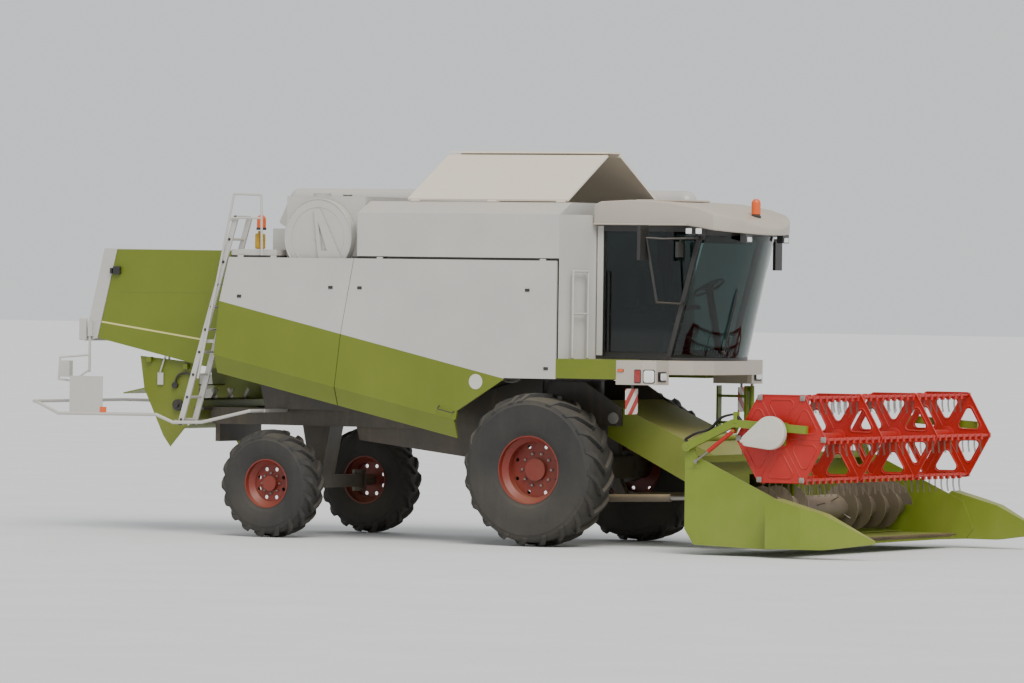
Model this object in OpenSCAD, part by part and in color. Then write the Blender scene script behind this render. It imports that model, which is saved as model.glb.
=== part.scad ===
/* [Wheels] */
// Radius of a front tyre, out to the tips of its lugs
front_tyre_r = 905; // [860:5:930]
// Width of a front tyre
front_tyre_w = 620; // [560:5:640]
// Sideways place of a front wheel's middle
front_wheel_y = 1290; // [1280:5:1340]
// Radius of a front rim's flange
front_rim_r = 431; // [400:1:460]
// Radius of a rear tyre, out to the tips of its lugs
rear_tyre_r = 650; // [620:5:680]
// Width of a rear tyre
rear_tyre_w = 420; // [380:5:440]
// Sideways place of a rear wheel's middle
rear_wheel_y = 1190; // [1180:5:1230]
// Radius of a rear rim's flange
rear_rim_r = 322; // [300:1:345]
// Height of a tyre's lugs
lug_h = 45; // [25:1:55]
// Distance between the axles
wheelbase = 3700; // [3650:5:3760]
// Sideways place of a kingpin
kingpin_y = 860; // [840:5:880]
// Thickness of a rim's steel
rim_t = 14; // [8:1:20]

/* [Chassis] */
// Half of the distance between the frame rails' middles
rail_y = 560; // [520:5:600]
// Width of a frame rail
rail_w = 120; // [80:2:140]
// Height of a frame rail
rail_h = 200; // [160:5:220]
// Height of the rails' underside
rail_z = 1340; // [1330:5:1380]
// Side of the square front axle beam
front_beam = 260; // [220:5:280]
// Side of the square rear axle beam
rear_beam = 150; // [120:5:160]
// Radius of the tow hitch's pin hole
hitch_r = 19; // [16:0.5:24]
// Thickness of one ear of the tow hitch
hitch_ear = 22; // [16:1:28]
// Gap between the ears of the tow hitch
hitch_gap = 70; // [60:1:90]

/* [Body] */
// Half of the width over the side panels
side_y = 1450; // [1430:5:1480]
// Thickness of a side panel
panel_t = 30; // [20:1:34]
// Height of the side panels' top edge
panel_top = 3370; // [3350:5:3390]
// Running gap between moving panels and what they close on
panel_gap = 12; // [8:1:16]
// Half of the width of the threshing body
body_y = 800; // [760:5:830]
// Height of the threshing body's top
body_top = 2480; // [2440:5:2500]
// Half of the width of the straw hood
hood_y = 900; // [860:5:930]
// Height of the straw hood's top
hood_top = 3450; // [3410:5:3480]
// Thickness of the straw hood's walls
hood_t = 25; // [15:1:35]

/* [Tank] */
// Thickness of the grain tank's walls
tank_t = 30; // [20:1:40]
// Height of the tank's upright side
tank_side_top = 3915; // [3890:5:3930]
// Height of the tank's mouth
tank_top = 4060; // [4040:5:4080]
// Half of the width of the tank's mouth
mouth_y = 1150; // [1120:5:1180]
// Height of the ridge where the open hoods meet
ridge_z = 4620; // [4560:5:4680]
// Half of the width of the flat ridge strip
ridge_y = 150; // [120:5:180]
// Thickness of a hood sheet
hood_sheet = 24; // [16:1:30]

/* [Cab] */
// Half of the width of the cab
cab_y = 850; // [820:5:870]
// Height of the cab floor's top
cab_floor = 2250; // [2235:5:2270]
// Height of the ceiling
cab_ceiling = 3800; // [3760:5:3820]
// Thickness of the cab's posts across
post_t = 50; // [40:1:60]
// Thickness of the glass
glass_t = 8; // [6:1:12]
// Half of the width of the roof
roof_y = 950; // [920:5:980]

/* [Header] */
// Half of the width over the dividers
header_y = 2500; // [2470:5:2540]
// Half of the cutting width
cut_y = 2260; // [2250:5:2290]
// Radius over the bars of the reel
reel_bar_r = 560; // [540:2:570]
// Length of a reel tine
tine_l = 180; // [140:2:180]
// Radius over the flights of the intake auger
auger_r = 280; // [250:2:284]
// Radius of the intake auger's drum
auger_core_r = 150; // [120:2:180]
// Half of the width of the feeder house
feeder_y = 700; // [660:5:720]
// Thickness of the feeder house's walls
feeder_t = 16; // [8:1:24]
// Radius of a header lift cylinder's barrel
lift_r = 45; // [38:1:52]
// Radius of a header lift cylinder's rod
lift_rod_r = 28; // [22:1:32]

/* [Fittings] */
// Radius of the rear guard's tube
guard_r = 20; // [14:1:26]
// Radius of a handrail's tube
rail_tube_r = 14; // [10:1:18]
// Radius of the unloading auger's tube
spout_r = 140; // [120:2:142]
// Radius of the rotary screen
screen_r = 465; // [440:5:480]

/* [Hidden] */
$fn = 48;

// Colours
green = "#7A8A2A";
arm_green = "#7D9632";
panel_white = "#BEBCB6";
roof_white = "#CDC3B4";
reel_red = "#B41914";
chassis_black = "#26282A";
tyre_black = "#23262A";
steel = "#8C9094";
glass_tint = "#2E4448";

// Places along the machine are measured from the front axle, forwards
body_front = 290;
seam_top = [-2460, panel_top];
seam_low = [-2630, 2480];
panel_rear_top = [-4200, panel_top];
arch_top = [-410, 1960];
arch_mid = [-1030, 1580];
arch_low = [-1090, 1270];
fold_front = [-1050, 1470];
fold_rear = [-4400, 2193];
guard_tip_x = -7200;
divider_tip_x = 4900;
front_axle_x = -(guard_tip_x - guard_r + divider_tip_x) / 2;
rear_axle_x = -wheelbase;

// Small running gap between pieces that move on each other, and the slack of a pin in its hole
fit_gap = 0.3;
swing_gap = 6;

// A number far larger than the machine is tall, for cutting tools
far = 9000;

module from_axle() translate([front_axle_x, 0, 0]) children();

// An outline of x and z points, drawn across the machine from y_lo to y_hi
module side_prism(points, y_lo, y_hi)
    translate([0, y_hi, 0]) rotate([90, 0, 0]) linear_extrude(y_hi - y_lo) polygon(points);

// An outline of y and z points, drawn along the machine from x_lo to x_hi
module end_prism(points, x_lo, x_hi)
    translate([x_lo, 0, 0]) rotate([90, 0, 90]) linear_extrude(x_hi - x_lo) polygon(points);

module block(lo, hi) translate(lo) cube(hi - lo);

module both_sides() {
    children();
    mirror([0, 1, 0]) children();
}

// A round bar from one point to another
module rod(p, q, r) {
    d = q - p;
    l = norm(d);
    translate(p) rotate([0, acos(d[2] / l), atan2(d[1], d[0])]) cylinder(h = l, r = r);
}

// A bent tube through a list of points, with a round knuckle at each bend
module bent_tube(points, r) {
    for (i = [0 : len(points) - 2]) rod(points[i], points[i + 1], r);
    for (i = [1 : 1 : len(points) - 2]) {
        // The knuckle's poles point along the tubes, inside them
        axis = unit(points[i - 1] - points[i]) - unit(points[i + 1] - points[i]);
        translate(points[i]) rotate([0, acos(axis[2] / norm(axis)), atan2(axis[1], axis[0])]) sphere(r * 1.02);
    }
}
function unit(v) = v / norm(v);

// A flat bar of height h between two x, z points, from y_lo to y_hi
module bar(p, q, h, y_lo, y_hi) {
    d = q - p;
    n = [-d[1], d[0]] / norm(d) * h / 2;
    side_prism([p - n, q - n, q + n, p + n], y_lo, y_hi);
}

// A cylinder across the machine
module cross_pin(x, z, r, y_lo, y_hi, bore = 0)
    translate([x, y_hi, z]) rotate([90, 0, 0]) difference() {
        cylinder(h = y_hi - y_lo, r = r);
        if (bore > 0) translate([0, 0, -1]) cylinder(h = y_hi - y_lo + 2, r = bore);
    }

/* Chassis */
frame_front_x = 300;
frame_rear_x = -4930;
cross_member_x = [-4870, -3700, -3080, -1180, -250];
pivot_x = 700;
pivot_z = 1520;
pivot_r = 60;
pivot_plate_t = 30;

module main_frame() from_axle() color(chassis_black) difference() {
    union() {
        both_sides() {
            block([frame_rear_x, rail_y - rail_w / 2, rail_z],
                [frame_front_x, rail_y + rail_w / 2, rail_z + rail_h]);
            // Plates that reach forward to the pivot of the feeder house
            side_prism([[-200, rail_z + 100], [pivot_x + 100, pivot_z - 90], [pivot_x + 100, pivot_z + 120],
                [frame_front_x, 1940], [-200, 1940]],
                feeder_y + swing_gap, feeder_y + swing_gap + pivot_plate_t);
            block([-200, rail_y, rail_z + 100], [frame_front_x - 100, feeder_y + swing_gap + 1, rail_z + rail_h]);
            // Bracket for the straw chopper
            block([-4940, rail_y, rail_z + rail_h - 35], [-4900, chopper_y + 20, rail_z + rail_h]);
            block([-5030, chopper_y + fit_gap, rail_z + rail_h - 35], [-4900, chopper_y + 20, rail_z + rail_h]);
        }
        for (x = cross_member_x)
            block([x - 60, -rail_y, rail_z + 20], [x + 60, rail_y, rail_z + rail_h - 20]);
    }
    cross_pin(pivot_x, pivot_z, pivot_r + fit_gap, -far, far);
}

// Front axle: a square beam with a final drive at each end, and ears for the lift cylinders
lift_pin = [150, 560];
lift_y = 600;
lift_pin_r = 20;
lift_eye_w = 50;
front_hub_r = 150;
front_disc_y = 40;
rear_disc_y = 30;
front_hub_y = front_wheel_y + front_disc_y - rim_t;

module front_axle() from_axle() color(chassis_black) {
    block([-front_beam / 2, -980, front_tyre_r - front_beam / 2], [front_beam / 2, 980, front_tyre_r + front_beam / 2]);
    both_sides() {
        // Upright to the frame rail
        block([-110, rail_y - 50, front_tyre_r + front_beam / 2], [110, rail_y + 50, rail_z]);
        cross_pin(0, front_tyre_r, 190, 880, 1030);
        cross_pin(0, front_tyre_r, front_hub_r, 1029, front_hub_y - fit_gap);
        // Ears that hold the lift cylinder's pin
        for (y = [lift_y - lift_eye_w / 2 - 24, lift_y + lift_eye_w / 2 + 4])
            side_prism([[-100, front_tyre_r - front_beam / 2], [100, front_tyre_r - front_beam / 2],
                lift_pin + [45, 20], lift_pin + [45, -45], lift_pin + [-45, -45]], y, y + 20);
        cross_pin(lift_pin[0], lift_pin[1], lift_pin_r, lift_y - lift_eye_w / 2 - 20, lift_y + lift_eye_w / 2 + 20);
    }
}

module engine_block() from_axle() color(chassis_black)
    block([-3900, -450, body_top], [-2650, 450, panel_top - 40]);

// Threshing body between the side panels, with the deck that carries tank and engine
deck_t = 20;
deck_z = panel_top + 5;
corner_x = 500;
// Width of the deck's strip beside the tank
tank_strip = 20;
hood_front_x = -4200;
bulkhead_head = [-4190, deck_z + 8];
bulkhead_foot = [-4375, 1995];
bulkhead_t = 30;
module machine_body() from_axle() color(chassis_black) difference() {
    union() {
        side_prism([[-230, rail_z + rail_h], [-230, 1960], [body_front - 30, 1960], [body_front - 30, body_top],
            [hood_front_x + fit_gap, body_top], [hood_front_x + fit_gap, 2150], [-4050, rail_z + rail_h]], -body_y, body_y);
        // Sieve box hanging between the rails
        side_prism([[-1250, rail_z + rail_h], [-1350, 1000], [-2900, 1180], [-3000, rail_z + rail_h]],
            -(rail_y - rail_w / 2), rail_y - rail_w / 2);
        // Rear bulkhead behind the panels' rear edges, and the front bulkhead
        both_sides() {
            difference() {
                side_prism([bulkhead_head, bulkhead_head + [bulkhead_t, 0], bulkhead_foot + [bulkhead_t, 0], bulkhead_foot],
                    hood_y + 2, side_y - panel_t - panel_gap);
                block([-far, side_y - fold_in - panel_t - panel_gap, 0], [0, far, 2255]);
            }
            block([-4190, hood_y + 2, body_top - 20], [-3900, side_y - panel_t - panel_gap - 40, body_top]);
            block([hood_front_x + fit_gap, body_y - 1, body_top - 20], [-3900, hood_y + 40, body_top]);
        }
        block([body_front - 30, -(side_y - panel_t - panel_gap), 1980],
            [body_front, side_y - panel_t - panel_gap, deck_z]);
        both_sides() {
            // Channels that carry the cab
            block([body_front - 1, 690, 2120], [beam_front_x - 8, 760, sill_low - fit_gap]);
            hinge_seats(front_hinge_x);
            hinge_seats(rear_hinge_x);
        }
        // Deck behind the tank, notched for the rotary screen's drum, and strips beside the tank
        block([hood_front_x + fit_gap, -(side_y - panel_t - panel_gap), deck_z],
            [tank_rear_x - fit_gap, side_y - panel_t - panel_gap, deck_z + deck_t]);
        both_sides() block([tank_rear_x - 1, side_y - panel_t - panel_gap - tank_strip + fit_gap, deck_z],
            [body_front, side_y - panel_t - panel_gap, deck_z + deck_t]);
    }
    block([screen_x - screen_r - 40, -far / 2, deck_z - 1],
        [screen_x + screen_r + 40, screen_back_y + 31, deck_z + deck_t + 1]);
}

/* Straw hood */
hood_rear_top = [-6120, hood_top];
hood_rear_low = [-6385, 2360];
hood_outline = [[hood_front_x, hood_top], hood_rear_top, hood_rear_low, [-4900, 2045], [hood_front_x, 1940]];
module straw_hood() from_axle() color(green) difference() {
    side_prism(hood_outline, -hood_y, hood_y);
    side_prism([[hood_front_x + 1, hood_top - hood_t], hood_rear_top + [-50, -hood_t], hood_rear_low + [-50, -60],
        [-4900, 1900], [hood_front_x + 1, 1800]], -(hood_y - hood_t), hood_y - hood_t);
}

hood_rear_w = 180;
rear_low = hood_rear_low + [-6, 0];
module hood_rear() from_axle() color(panel_white) difference() {
    side_prism([hood_rear_top, hood_rear_top + [-hood_rear_w, 10], rear_low + [-hood_rear_w, -40], rear_low],
        -(hood_y + 10), hood_y + 10);
    side_prism([hood_rear_top + [1, -30], hood_rear_top + [30 - hood_rear_w, -30], rear_low + [30 - hood_rear_w, -80],
        rear_low + [1, -80]], -(hood_y - 20), hood_y - 20);
}

/* Grain tank */
tank_rear_x = -2420;
tank_front_x = 320;
tank_floor = body_top;
tank_half = [[0, tank_floor], [body_y - 60, tank_floor], [side_y - panel_t - panel_gap - tank_strip, deck_z - 60],
    [side_y - panel_t - panel_gap - tank_strip, deck_z + deck_t], [side_y, deck_z + deck_t + 5], [side_y, tank_side_top],
    [mouth_y, tank_top], [0, tank_top]];
tank_inner_half = [[0, tank_floor + tank_t], [body_y - 75, tank_floor + tank_t],
    [side_y - panel_t - panel_gap - 60, deck_z - 50], [side_y - panel_t - panel_gap - 60, deck_z + deck_t + 30],
    [side_y - tank_t, deck_z + deck_t + 40], [side_y - tank_t, tank_side_top - 20], [mouth_y, tank_top - tank_t - 3],
    [mouth_y, tank_top + 10], [0, tank_top + 10]];

module mirrored_outline(half) {
    polygon(half);
    mirror([1, 0]) polygon(half);
}

module grain_tank() from_axle() color(panel_white) {
    difference() {
        translate([tank_rear_x, 0, 0]) rotate([90, 0, 90]) linear_extrude(tank_front_x - tank_rear_x)
            mirrored_outline(tank_half);
        translate([tank_rear_x + tank_t, 0, 0]) rotate([90, 0, 90])
            linear_extrude(tank_front_x - tank_rear_x - 2 * tank_t) mirrored_outline(tank_inner_half);
        // Below the deck the tub is narrower at the front, where the bulkhead stands
        block([body_front - 30, -far / 2, 0], [far, far / 2, deck_z + deck_t]);
    }
    block([body_front - 30 - tank_t, -(side_y - panel_t - panel_gap - 60), tank_floor + tank_t],
        [body_front - 30, side_y - panel_t - panel_gap - 60, deck_z + deck_t + 30]);
    // Column of the unloading auger, with its neck to the corner panel
    translate([spout_x, side_y, column_low_z]) cylinder(h = column_top_z - column_low_z, r = spout_r);
    block([370, 1250, column_low_z + 40], [spout_x, side_y - 60, column_low_z + 300]);
    // Corner panels that slope from the tank's front to the back of the cab
    both_sides() linear_prism([[tank_front_x, side_y], [corner_x, cab_y + 20], [corner_x, cab_y - 10],
        [tank_front_x, side_y - 60]], 2219 + fit_gap, tank_side_top);
}

module linear_prism(points, z_lo, z_hi) translate([0, 0, z_lo]) linear_extrude(z_hi - z_lo) polygon(points);

// Tank hoods, which stand open like a roof: the left one carries the ridge strip
hood_hinge_z = tank_top + 12;
hood_front = 270;
hood_back = -1900;
hood_hinge_r = 12;
hood_slope = atan2(ridge_z - hood_hinge_z, mouth_y - ridge_y);
hood_len = norm([ridge_z - hood_hinge_z, mouth_y - ridge_y]);
module tank_hood_right() from_axle() color(roof_white)
    translate([0, -mouth_y, hood_hinge_z]) rotate([hood_slope, 0, 0]) {
        block([hood_back, 0, 0], [hood_front, hood_len - swing_gap, hood_sheet]);
        for (x = [hood_back + 40, (hood_back + hood_front) / 2, hood_front - 160])
            translate([x, 0, 0]) rotate([0, 90, 0]) cylinder(h = 120, r = hood_hinge_r);
    }

module tank_hood_left() from_axle() color(roof_white) {
    mirror([0, 1, 0]) translate([0, -mouth_y, hood_hinge_z]) rotate([hood_slope, 0, 0]) {
        block([hood_back, 0, 0], [hood_front, hood_len, hood_sheet]);
        for (x = [hood_back + 40, (hood_back + hood_front) / 2, hood_front - 160])
            translate([x, 0, 0]) rotate([0, 90, 0]) cylinder(h = 120, r = hood_hinge_r);
    }
    // Ridge strip, which laps over the right hood's edge
    block([hood_back, -ridge_y - 20, ridge_z + hood_sheet + swing_gap + 6],
        [hood_front, ridge_y + 10, ridge_z + 2 * hood_sheet + swing_gap + 6]);
    block([hood_back + 2, ridge_y - 14, ridge_z - 4], [hood_front - 2, ridge_y + 8, ridge_z + hood_sheet + swing_gap + 8]);
}

/* Engine deck with the cooling unit */
cowl_rear_x = -3520;
cowl_front_x = tank_rear_x - 15;
screen_x = -3020;
screen_z = 3620;
screen_back_y = -1240;
screen_w = 110;
screen_pin_r = 30;
cowl_top = 4110;
deck_box_x = [-4190, -3560];
arm_gap = 8;
module engine_deck() from_axle() color(panel_white) {
    difference() {
        union() {
            block([cowl_rear_x, screen_back_y - 0, deck_z + deck_t], [cowl_front_x, 900, cowl_top]);
            block([screen_x - screen_r - 30, screen_back_y, 3160], [screen_x + screen_r + 30, screen_back_y + 30, deck_z + deck_t + 1]);
        }
        block([cowl_rear_x + 30, screen_back_y + 30, deck_z], [cowl_front_x - 30, 870, cowl_top - 30]);
        // The rear wall's opening towards the engine
        block([cowl_rear_x - 1, -700, deck_z + deck_t + 80], [cowl_rear_x + 31, 700, cowl_top - 120]);
        cross_pin(screen_x, screen_z, screen_r - 70, screen_back_y - 1, screen_back_y + 31);
    }
    // Spider that carries the screen's shaft
    for (a = [0, 60, 120])
        translate([screen_x, 0, screen_z]) rotate([0, a, 0])
            block([-(screen_r - 60), screen_back_y + 2, -12], [screen_r - 60, screen_back_y + 28, 12]);
    cross_pin(screen_x, screen_z, screen_pin_r, screen_back_y - screen_w - arm_gap - 12, screen_back_y + 36);
    // Suction arm in front of the screen
    screen_arm_y = screen_back_y - screen_w - arm_gap;
    difference() {
        side_prism([[screen_x - 50, screen_z + 330], [screen_x + 30, screen_z + 340], [screen_x + 330, screen_z - 250],
            [screen_x + 20, screen_z - 260]], screen_arm_y - 22, screen_arm_y);
        side_prism([[screen_x + 10, screen_z + 190], [screen_x + 140, screen_z - 160], [screen_x + 60, screen_z - 160]],
            screen_arm_y - 23, screen_arm_y + 1);
    }
    // Low box on the deck beside the ladder, and the deck plate behind the cowl
    block([deck_box_x[0], -(side_y - 45), deck_z + deck_t], [deck_box_x[1], -1000, deck_z + deck_t + 70]);
    block([deck_box_x[0], 1000, deck_z + deck_t], [deck_box_x[1], side_y - 45, deck_z + deck_t + 70]);
    // Air cleaner, its stack and the exhaust
    translate([-3840, 150, deck_z + deck_t]) cylinder(h = 430, r = 150);
    translate([-3840, 150, deck_z + deck_t + 429]) cylinder(h = 260, r = 60);
    translate([-3840, 150, deck_z + deck_t + 680]) cylinder(h = 90, r = 110);
    translate([-3800, 700, deck_z + deck_t]) cylinder(h = 760, r = 55);
    block([-4150, -500, deck_z + deck_t], [-3700, -80, deck_z + deck_t + 330]);
}

module rotary_screen() from_axle() color(panel_white) difference() {
    cross_pin(screen_x, screen_z, screen_r, screen_back_y - screen_w, screen_back_y - 6, screen_pin_r + fit_gap);
    cross_pin(screen_x, screen_z, screen_r - 14, screen_back_y - screen_w + 14, screen_back_y + 6, 60);
}

/* Side panels */
panel_inner_y = side_y - panel_t;
hinge_y = side_y - 12;
hinge_z = panel_top + 14;
hinge_r = 9;
hinge_pin_r = 5;
knuckle_l = 80;
ear_t = 16;
front_hinge_x = [-2150, 60];
rear_hinge_x = [-4080, -3620];

// Knuckles along a panel's top edge
module hinge_knuckles(places)
    for (x = places) difference() {
        union() {
            block([x, hinge_y - hinge_r, panel_top - 40], [x + knuckle_l, hinge_y + hinge_r, hinge_z]);
            translate([x, hinge_y, hinge_z]) rotate([0, 90, 0]) cylinder(h = knuckle_l, r = hinge_r);
        }
        translate([x - 1, hinge_y, hinge_z]) rotate([0, 90, 0]) cylinder(h = knuckle_l + 2, r = hinge_pin_r + fit_gap);
    }

// Pin and ears on the deck for each knuckle
module hinge_seats(places)
    for (x = places) {
        translate([x - ear_t - 1, hinge_y, hinge_z]) rotate([0, 90, 0]) cylinder(h = knuckle_l + 2 * ear_t + 2, r = hinge_pin_r);
        for (e = [x - ear_t - 1, x + knuckle_l + 1])
            block([e, side_y - panel_t - panel_gap - 20, hinge_z - hinge_r], [e + ear_t, hinge_y + hinge_r, hinge_z + hinge_r]);
    }
fold_slope = (fold_front[1] - fold_rear[1]) / (fold_front[0] - fold_rear[0]);
function fold_z(x) = fold_front[1] + fold_slope * (x - fold_front[0]);
fold_at_seam = [-2710, fold_z(-2710)];
front_outline = [seam_top, [body_front, panel_top], [body_front, 1980], [arch_top[0], 1980], arch_top, arch_mid,
    fold_front, fold_at_seam, seam_low];
rear_outline = [seam_top + [-8, 0], seam_low + [-8, 0], fold_at_seam + [-8, 0], [fold_rear[0], fold_z(fold_rear[0])],
    [-4330, 2840], panel_rear_top];
fold_drop = 215;
fold_in = 90;
// Lower edge band of a panel, folded inwards
module fold_band(x_lo, x_hi)
    intersection() {
        translate([fold_front[0], 0, fold_front[1]]) rotate([0, -atan(fold_slope), 0])
            end_prism([[panel_inner_y, 40], [side_y, 40], [side_y, 0], [side_y - fold_in, -fold_drop],
                [side_y - fold_in - panel_t, -fold_drop], [panel_inner_y, 0]], -far / 2, 600);
        block([x_lo, 0, 0], [x_hi, far, far]);
    }

module front_panel() {
    side_prism(front_outline, panel_inner_y, side_y);
    fold_band(fold_at_seam[0] + 3, arch_low[0] + 20);
    hinge_knuckles(front_hinge_x);
}

module rear_panel() {
    side_prism(rear_outline, panel_inner_y, side_y);
    fold_band(fold_rear[0] + 3, fold_at_seam[0] - 11);
    hinge_knuckles(rear_hinge_x);
}

module left_front_panel() from_axle() color(green) front_panel();
module left_rear_panel() from_axle() color(green) rear_panel();
module right_front_panel() from_axle() color(green) mirror([0, 1, 0]) front_panel();
module right_rear_panel() from_axle() color(green) mirror([0, 1, 0]) rear_panel();

/* Cab */
cab_rear_x = 510;
door_rear_x = 600;
pillar_low = [1470, cab_floor];
pillar_top = [1870, 3730];
sill_low = 2220;
screen_lean = 13;
screen_glass_r = 980;
screen_foot_x = 1985;
screen_low_z = cab_floor + 50;
screen_high_z = 3700;
floor_nose_r = 1050;
floor_outline_x = 1960;

// Plan of the cab floor: straight sides and a round nose
module cab_plan(z_lo, z_hi, nose_x, inset)
    intersection() {
        block([cab_rear_x + inset, -(cab_y - inset), z_lo], [nose_x - inset, cab_y - inset, z_hi]);
        translate([nose_x - floor_nose_r, 0, z_lo]) cylinder(h = z_hi - z_lo, r = floor_nose_r - inset);
    }

// Leaning round surface of the windscreen, radius r, as a solid cylinder
module screen_cylinder(r)
    translate([screen_foot_x, 0, screen_low_z]) rotate([0, screen_lean, 0]) translate([-screen_glass_r, 0, -900])
        cylinder(h = 3400, r = r, $fn = 240);

module cab_frame() from_axle() color(chassis_black) {
    cab_plan(sill_low, cab_floor, floor_outline_x, 0);
    // Rear wall with its window
    difference() {
        block([cab_rear_x, -cab_y, cab_floor], [cab_rear_x + 40, cab_y, cab_ceiling - fit_gap]);
        block([cab_rear_x - 1, -cab_y + 160, 2950], [cab_rear_x + 41, cab_y - 160, cab_ceiling - 90]);
    }
    both_sides() {
        block([cab_rear_x, cab_y - post_t, cab_floor], [door_rear_x, cab_y, cab_ceiling - fit_gap]);
        bar(pillar_low, pillar_top, 55, cab_y - post_t, cab_y);
        side_prism([[cab_rear_x, cab_ceiling - 70], [1860, cab_ceiling - 70], [1860, roof_under(1860)], [1739, cab_ceiling - fit_gap],
            [cab_rear_x, cab_ceiling - fit_gap]], cab_y - post_t, cab_y);
        block([door_rear_x - 1, cab_y - post_t, cab_floor], [pillar_low[0] + 40, cab_y - post_t + 20, cab_floor + 60]);
    }
    // Pins of the door
    for (z = door_hinge_z) {
        translate([door_hinge_x, door_hinge_y, z - 24]) cylinder(h = 138, r = 7);
        for (e = [z - 22, z + 94]) block([door_hinge_x - 12, cab_y - 1, e], [door_hinge_x + 12, door_hinge_y + 12, e + 18]);
    }
    // Header rail over the windscreen
    intersection() {
        difference() {
            screen_cylinder(screen_glass_r - glass_t - fit_gap);
            screen_cylinder(screen_glass_r - glass_t - 62);
        }
        side_prism([[1780, 3640], [2330, 3640], [2330, roof_under(2330)], [1780, roof_under(1780)]], -cab_y + 19, cab_y - 19);
    }
}

module cab_glass() from_axle() color(glass_tint) {
    // Windscreen
    intersection() {
        difference() {
            screen_cylinder(screen_glass_r);
            screen_cylinder(screen_glass_r - glass_t);
        }
        side_prism([pillar_low + [42, 3], [far, cab_floor + 3], [far, screen_high_z - 15], [pillar_top[0] + 38, screen_high_z - 15]],
            -cab_y, cab_y);
    }
    // Right side window
    side_prism(side_window, -cab_y + 10, -cab_y + 10 + glass_t);
    // Rear window
    block([cab_rear_x + 14, -cab_y + 160, 2950], [cab_rear_x + 14 + glass_t, cab_y - 160, cab_ceiling - 90]);
}

side_window = [[door_rear_x + fit_gap, cab_floor + 60], [pillar_low[0] - 14, cab_floor + 60],
    [pillar_top[0] - 40, cab_ceiling - 70 - fit_gap], [door_rear_x + fit_gap, cab_ceiling - 70 - fit_gap]];

// Left door: a frame that lies over the opening, hinged at its rear edge
door_t = 30;
door_gap = 4;
door_hinge_r = 14;
door_hinge_y = cab_y + door_gap + door_t / 2;
door_hinge_x = cab_rear_x + 40;
door_outline = [[door_hinge_x + 22, cab_floor + 5], [pillar_low[0] - 14, cab_floor + 5], [pillar_top[0] - 24, cab_ceiling - 30],
    [door_hinge_x + 22, cab_ceiling - 30]];
door_hole = [[door_hinge_x + 90, cab_floor + 75], [pillar_low[0] - 65, cab_floor + 75],
    [pillar_top[0] - 100, cab_ceiling - 95], [door_hinge_x + 90, cab_ceiling - 95]];
door_hinge_z = [2500, 3450];
module cab_door() from_axle() color(chassis_black) {
    difference() {
        side_prism(door_outline, cab_y + door_gap, cab_y + door_gap + door_t);
        side_prism(door_hole, cab_y, cab_y + door_gap + door_t + 1);
    }
    for (z = door_hinge_z) translate([door_hinge_x, door_hinge_y, z]) difference() {
        union() {
            cylinder(h = 90, r = door_hinge_r);
            translate([0, -8, 0]) cube([30, 16, 90]);
        }
        translate([0, 0, -1]) cylinder(h = 92, r = 7 + fit_gap);
    }
    // Pull handle
    rod([handle_low[0], handle_y, handle_low[1]], [handle_high[0], handle_y, handle_high[1]], 9);
    for (p = [handle_low, handle_high]) rod([p[0], cab_y + door_gap + door_t - 2, p[1]], [p[0], handle_y + 2, p[1]], 8);
}
handle_low = [1463, 2420];
handle_high = [1551, 2760];
handle_y = cab_y + door_gap + door_t + 30;

module cab_door_glass() from_axle() color(glass_tint)
    side_prism(door_hole, cab_y + door_gap + 10, cab_y + door_gap + 10 + glass_t);

// Roof: a side outline cut to a round-nosed plan
roof_outline = [[506, cab_ceiling], [1740, cab_ceiling], [2436, 3700], [2440, 3780], [2300, 3880], [1900, 4010], [1500, 4075],
    [1000, 4100], [600, 4080], [506, 4040]];
roof_nose_r = 1500;
roof_nose_x = 2440;
module cab_roof() from_axle() color(roof_white) {
    intersection() {
        side_prism(roof_outline, -roof_y, roof_y);
        translate([roof_nose_x - roof_nose_r, 0, 3000]) cylinder(h = 2000, r = roof_nose_r);
    }
}

module seat() from_axle() color("#303236") {
    block([900, -180, cab_floor], [1240, 180, cab_floor + 260]);
    block([820, -260, cab_floor + 260], [1320, 260, cab_floor + 400]);
    bar([860, cab_floor + 400], [760, cab_floor + 1050], 110, -240, 240);
    for (s = [-1, 1]) block([900, s * 320 - 35, cab_floor + 560], [1280, s * 320 + 35, cab_floor + 620]);
    for (s = [-1, 1]) block([900, s * 275 - 30, cab_floor + 330], [980, s * 275 + 30, cab_floor + 600]);
}

wheel_centre = [1560, 0, cab_floor + 830];
wheel_lean = 30;
module steering_column() from_axle() color("#2A2C30") {
    rod([1716, 0, cab_floor + 14], wheel_centre, 45);
    block([1650, -80, cab_floor], [1790, 80, cab_floor + 24]);
    translate(wheel_centre) rotate([0, -wheel_lean, 0]) {
        rotate_extrude() translate([190, 0]) circle(14);
        for (a = [0, 120, 240]) rotate([0, 0, a]) translate([0, -14, -7]) cube([184, 28, 14]);
        cylinder(h = 40, r = 50, center = true);
    }
}

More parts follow.
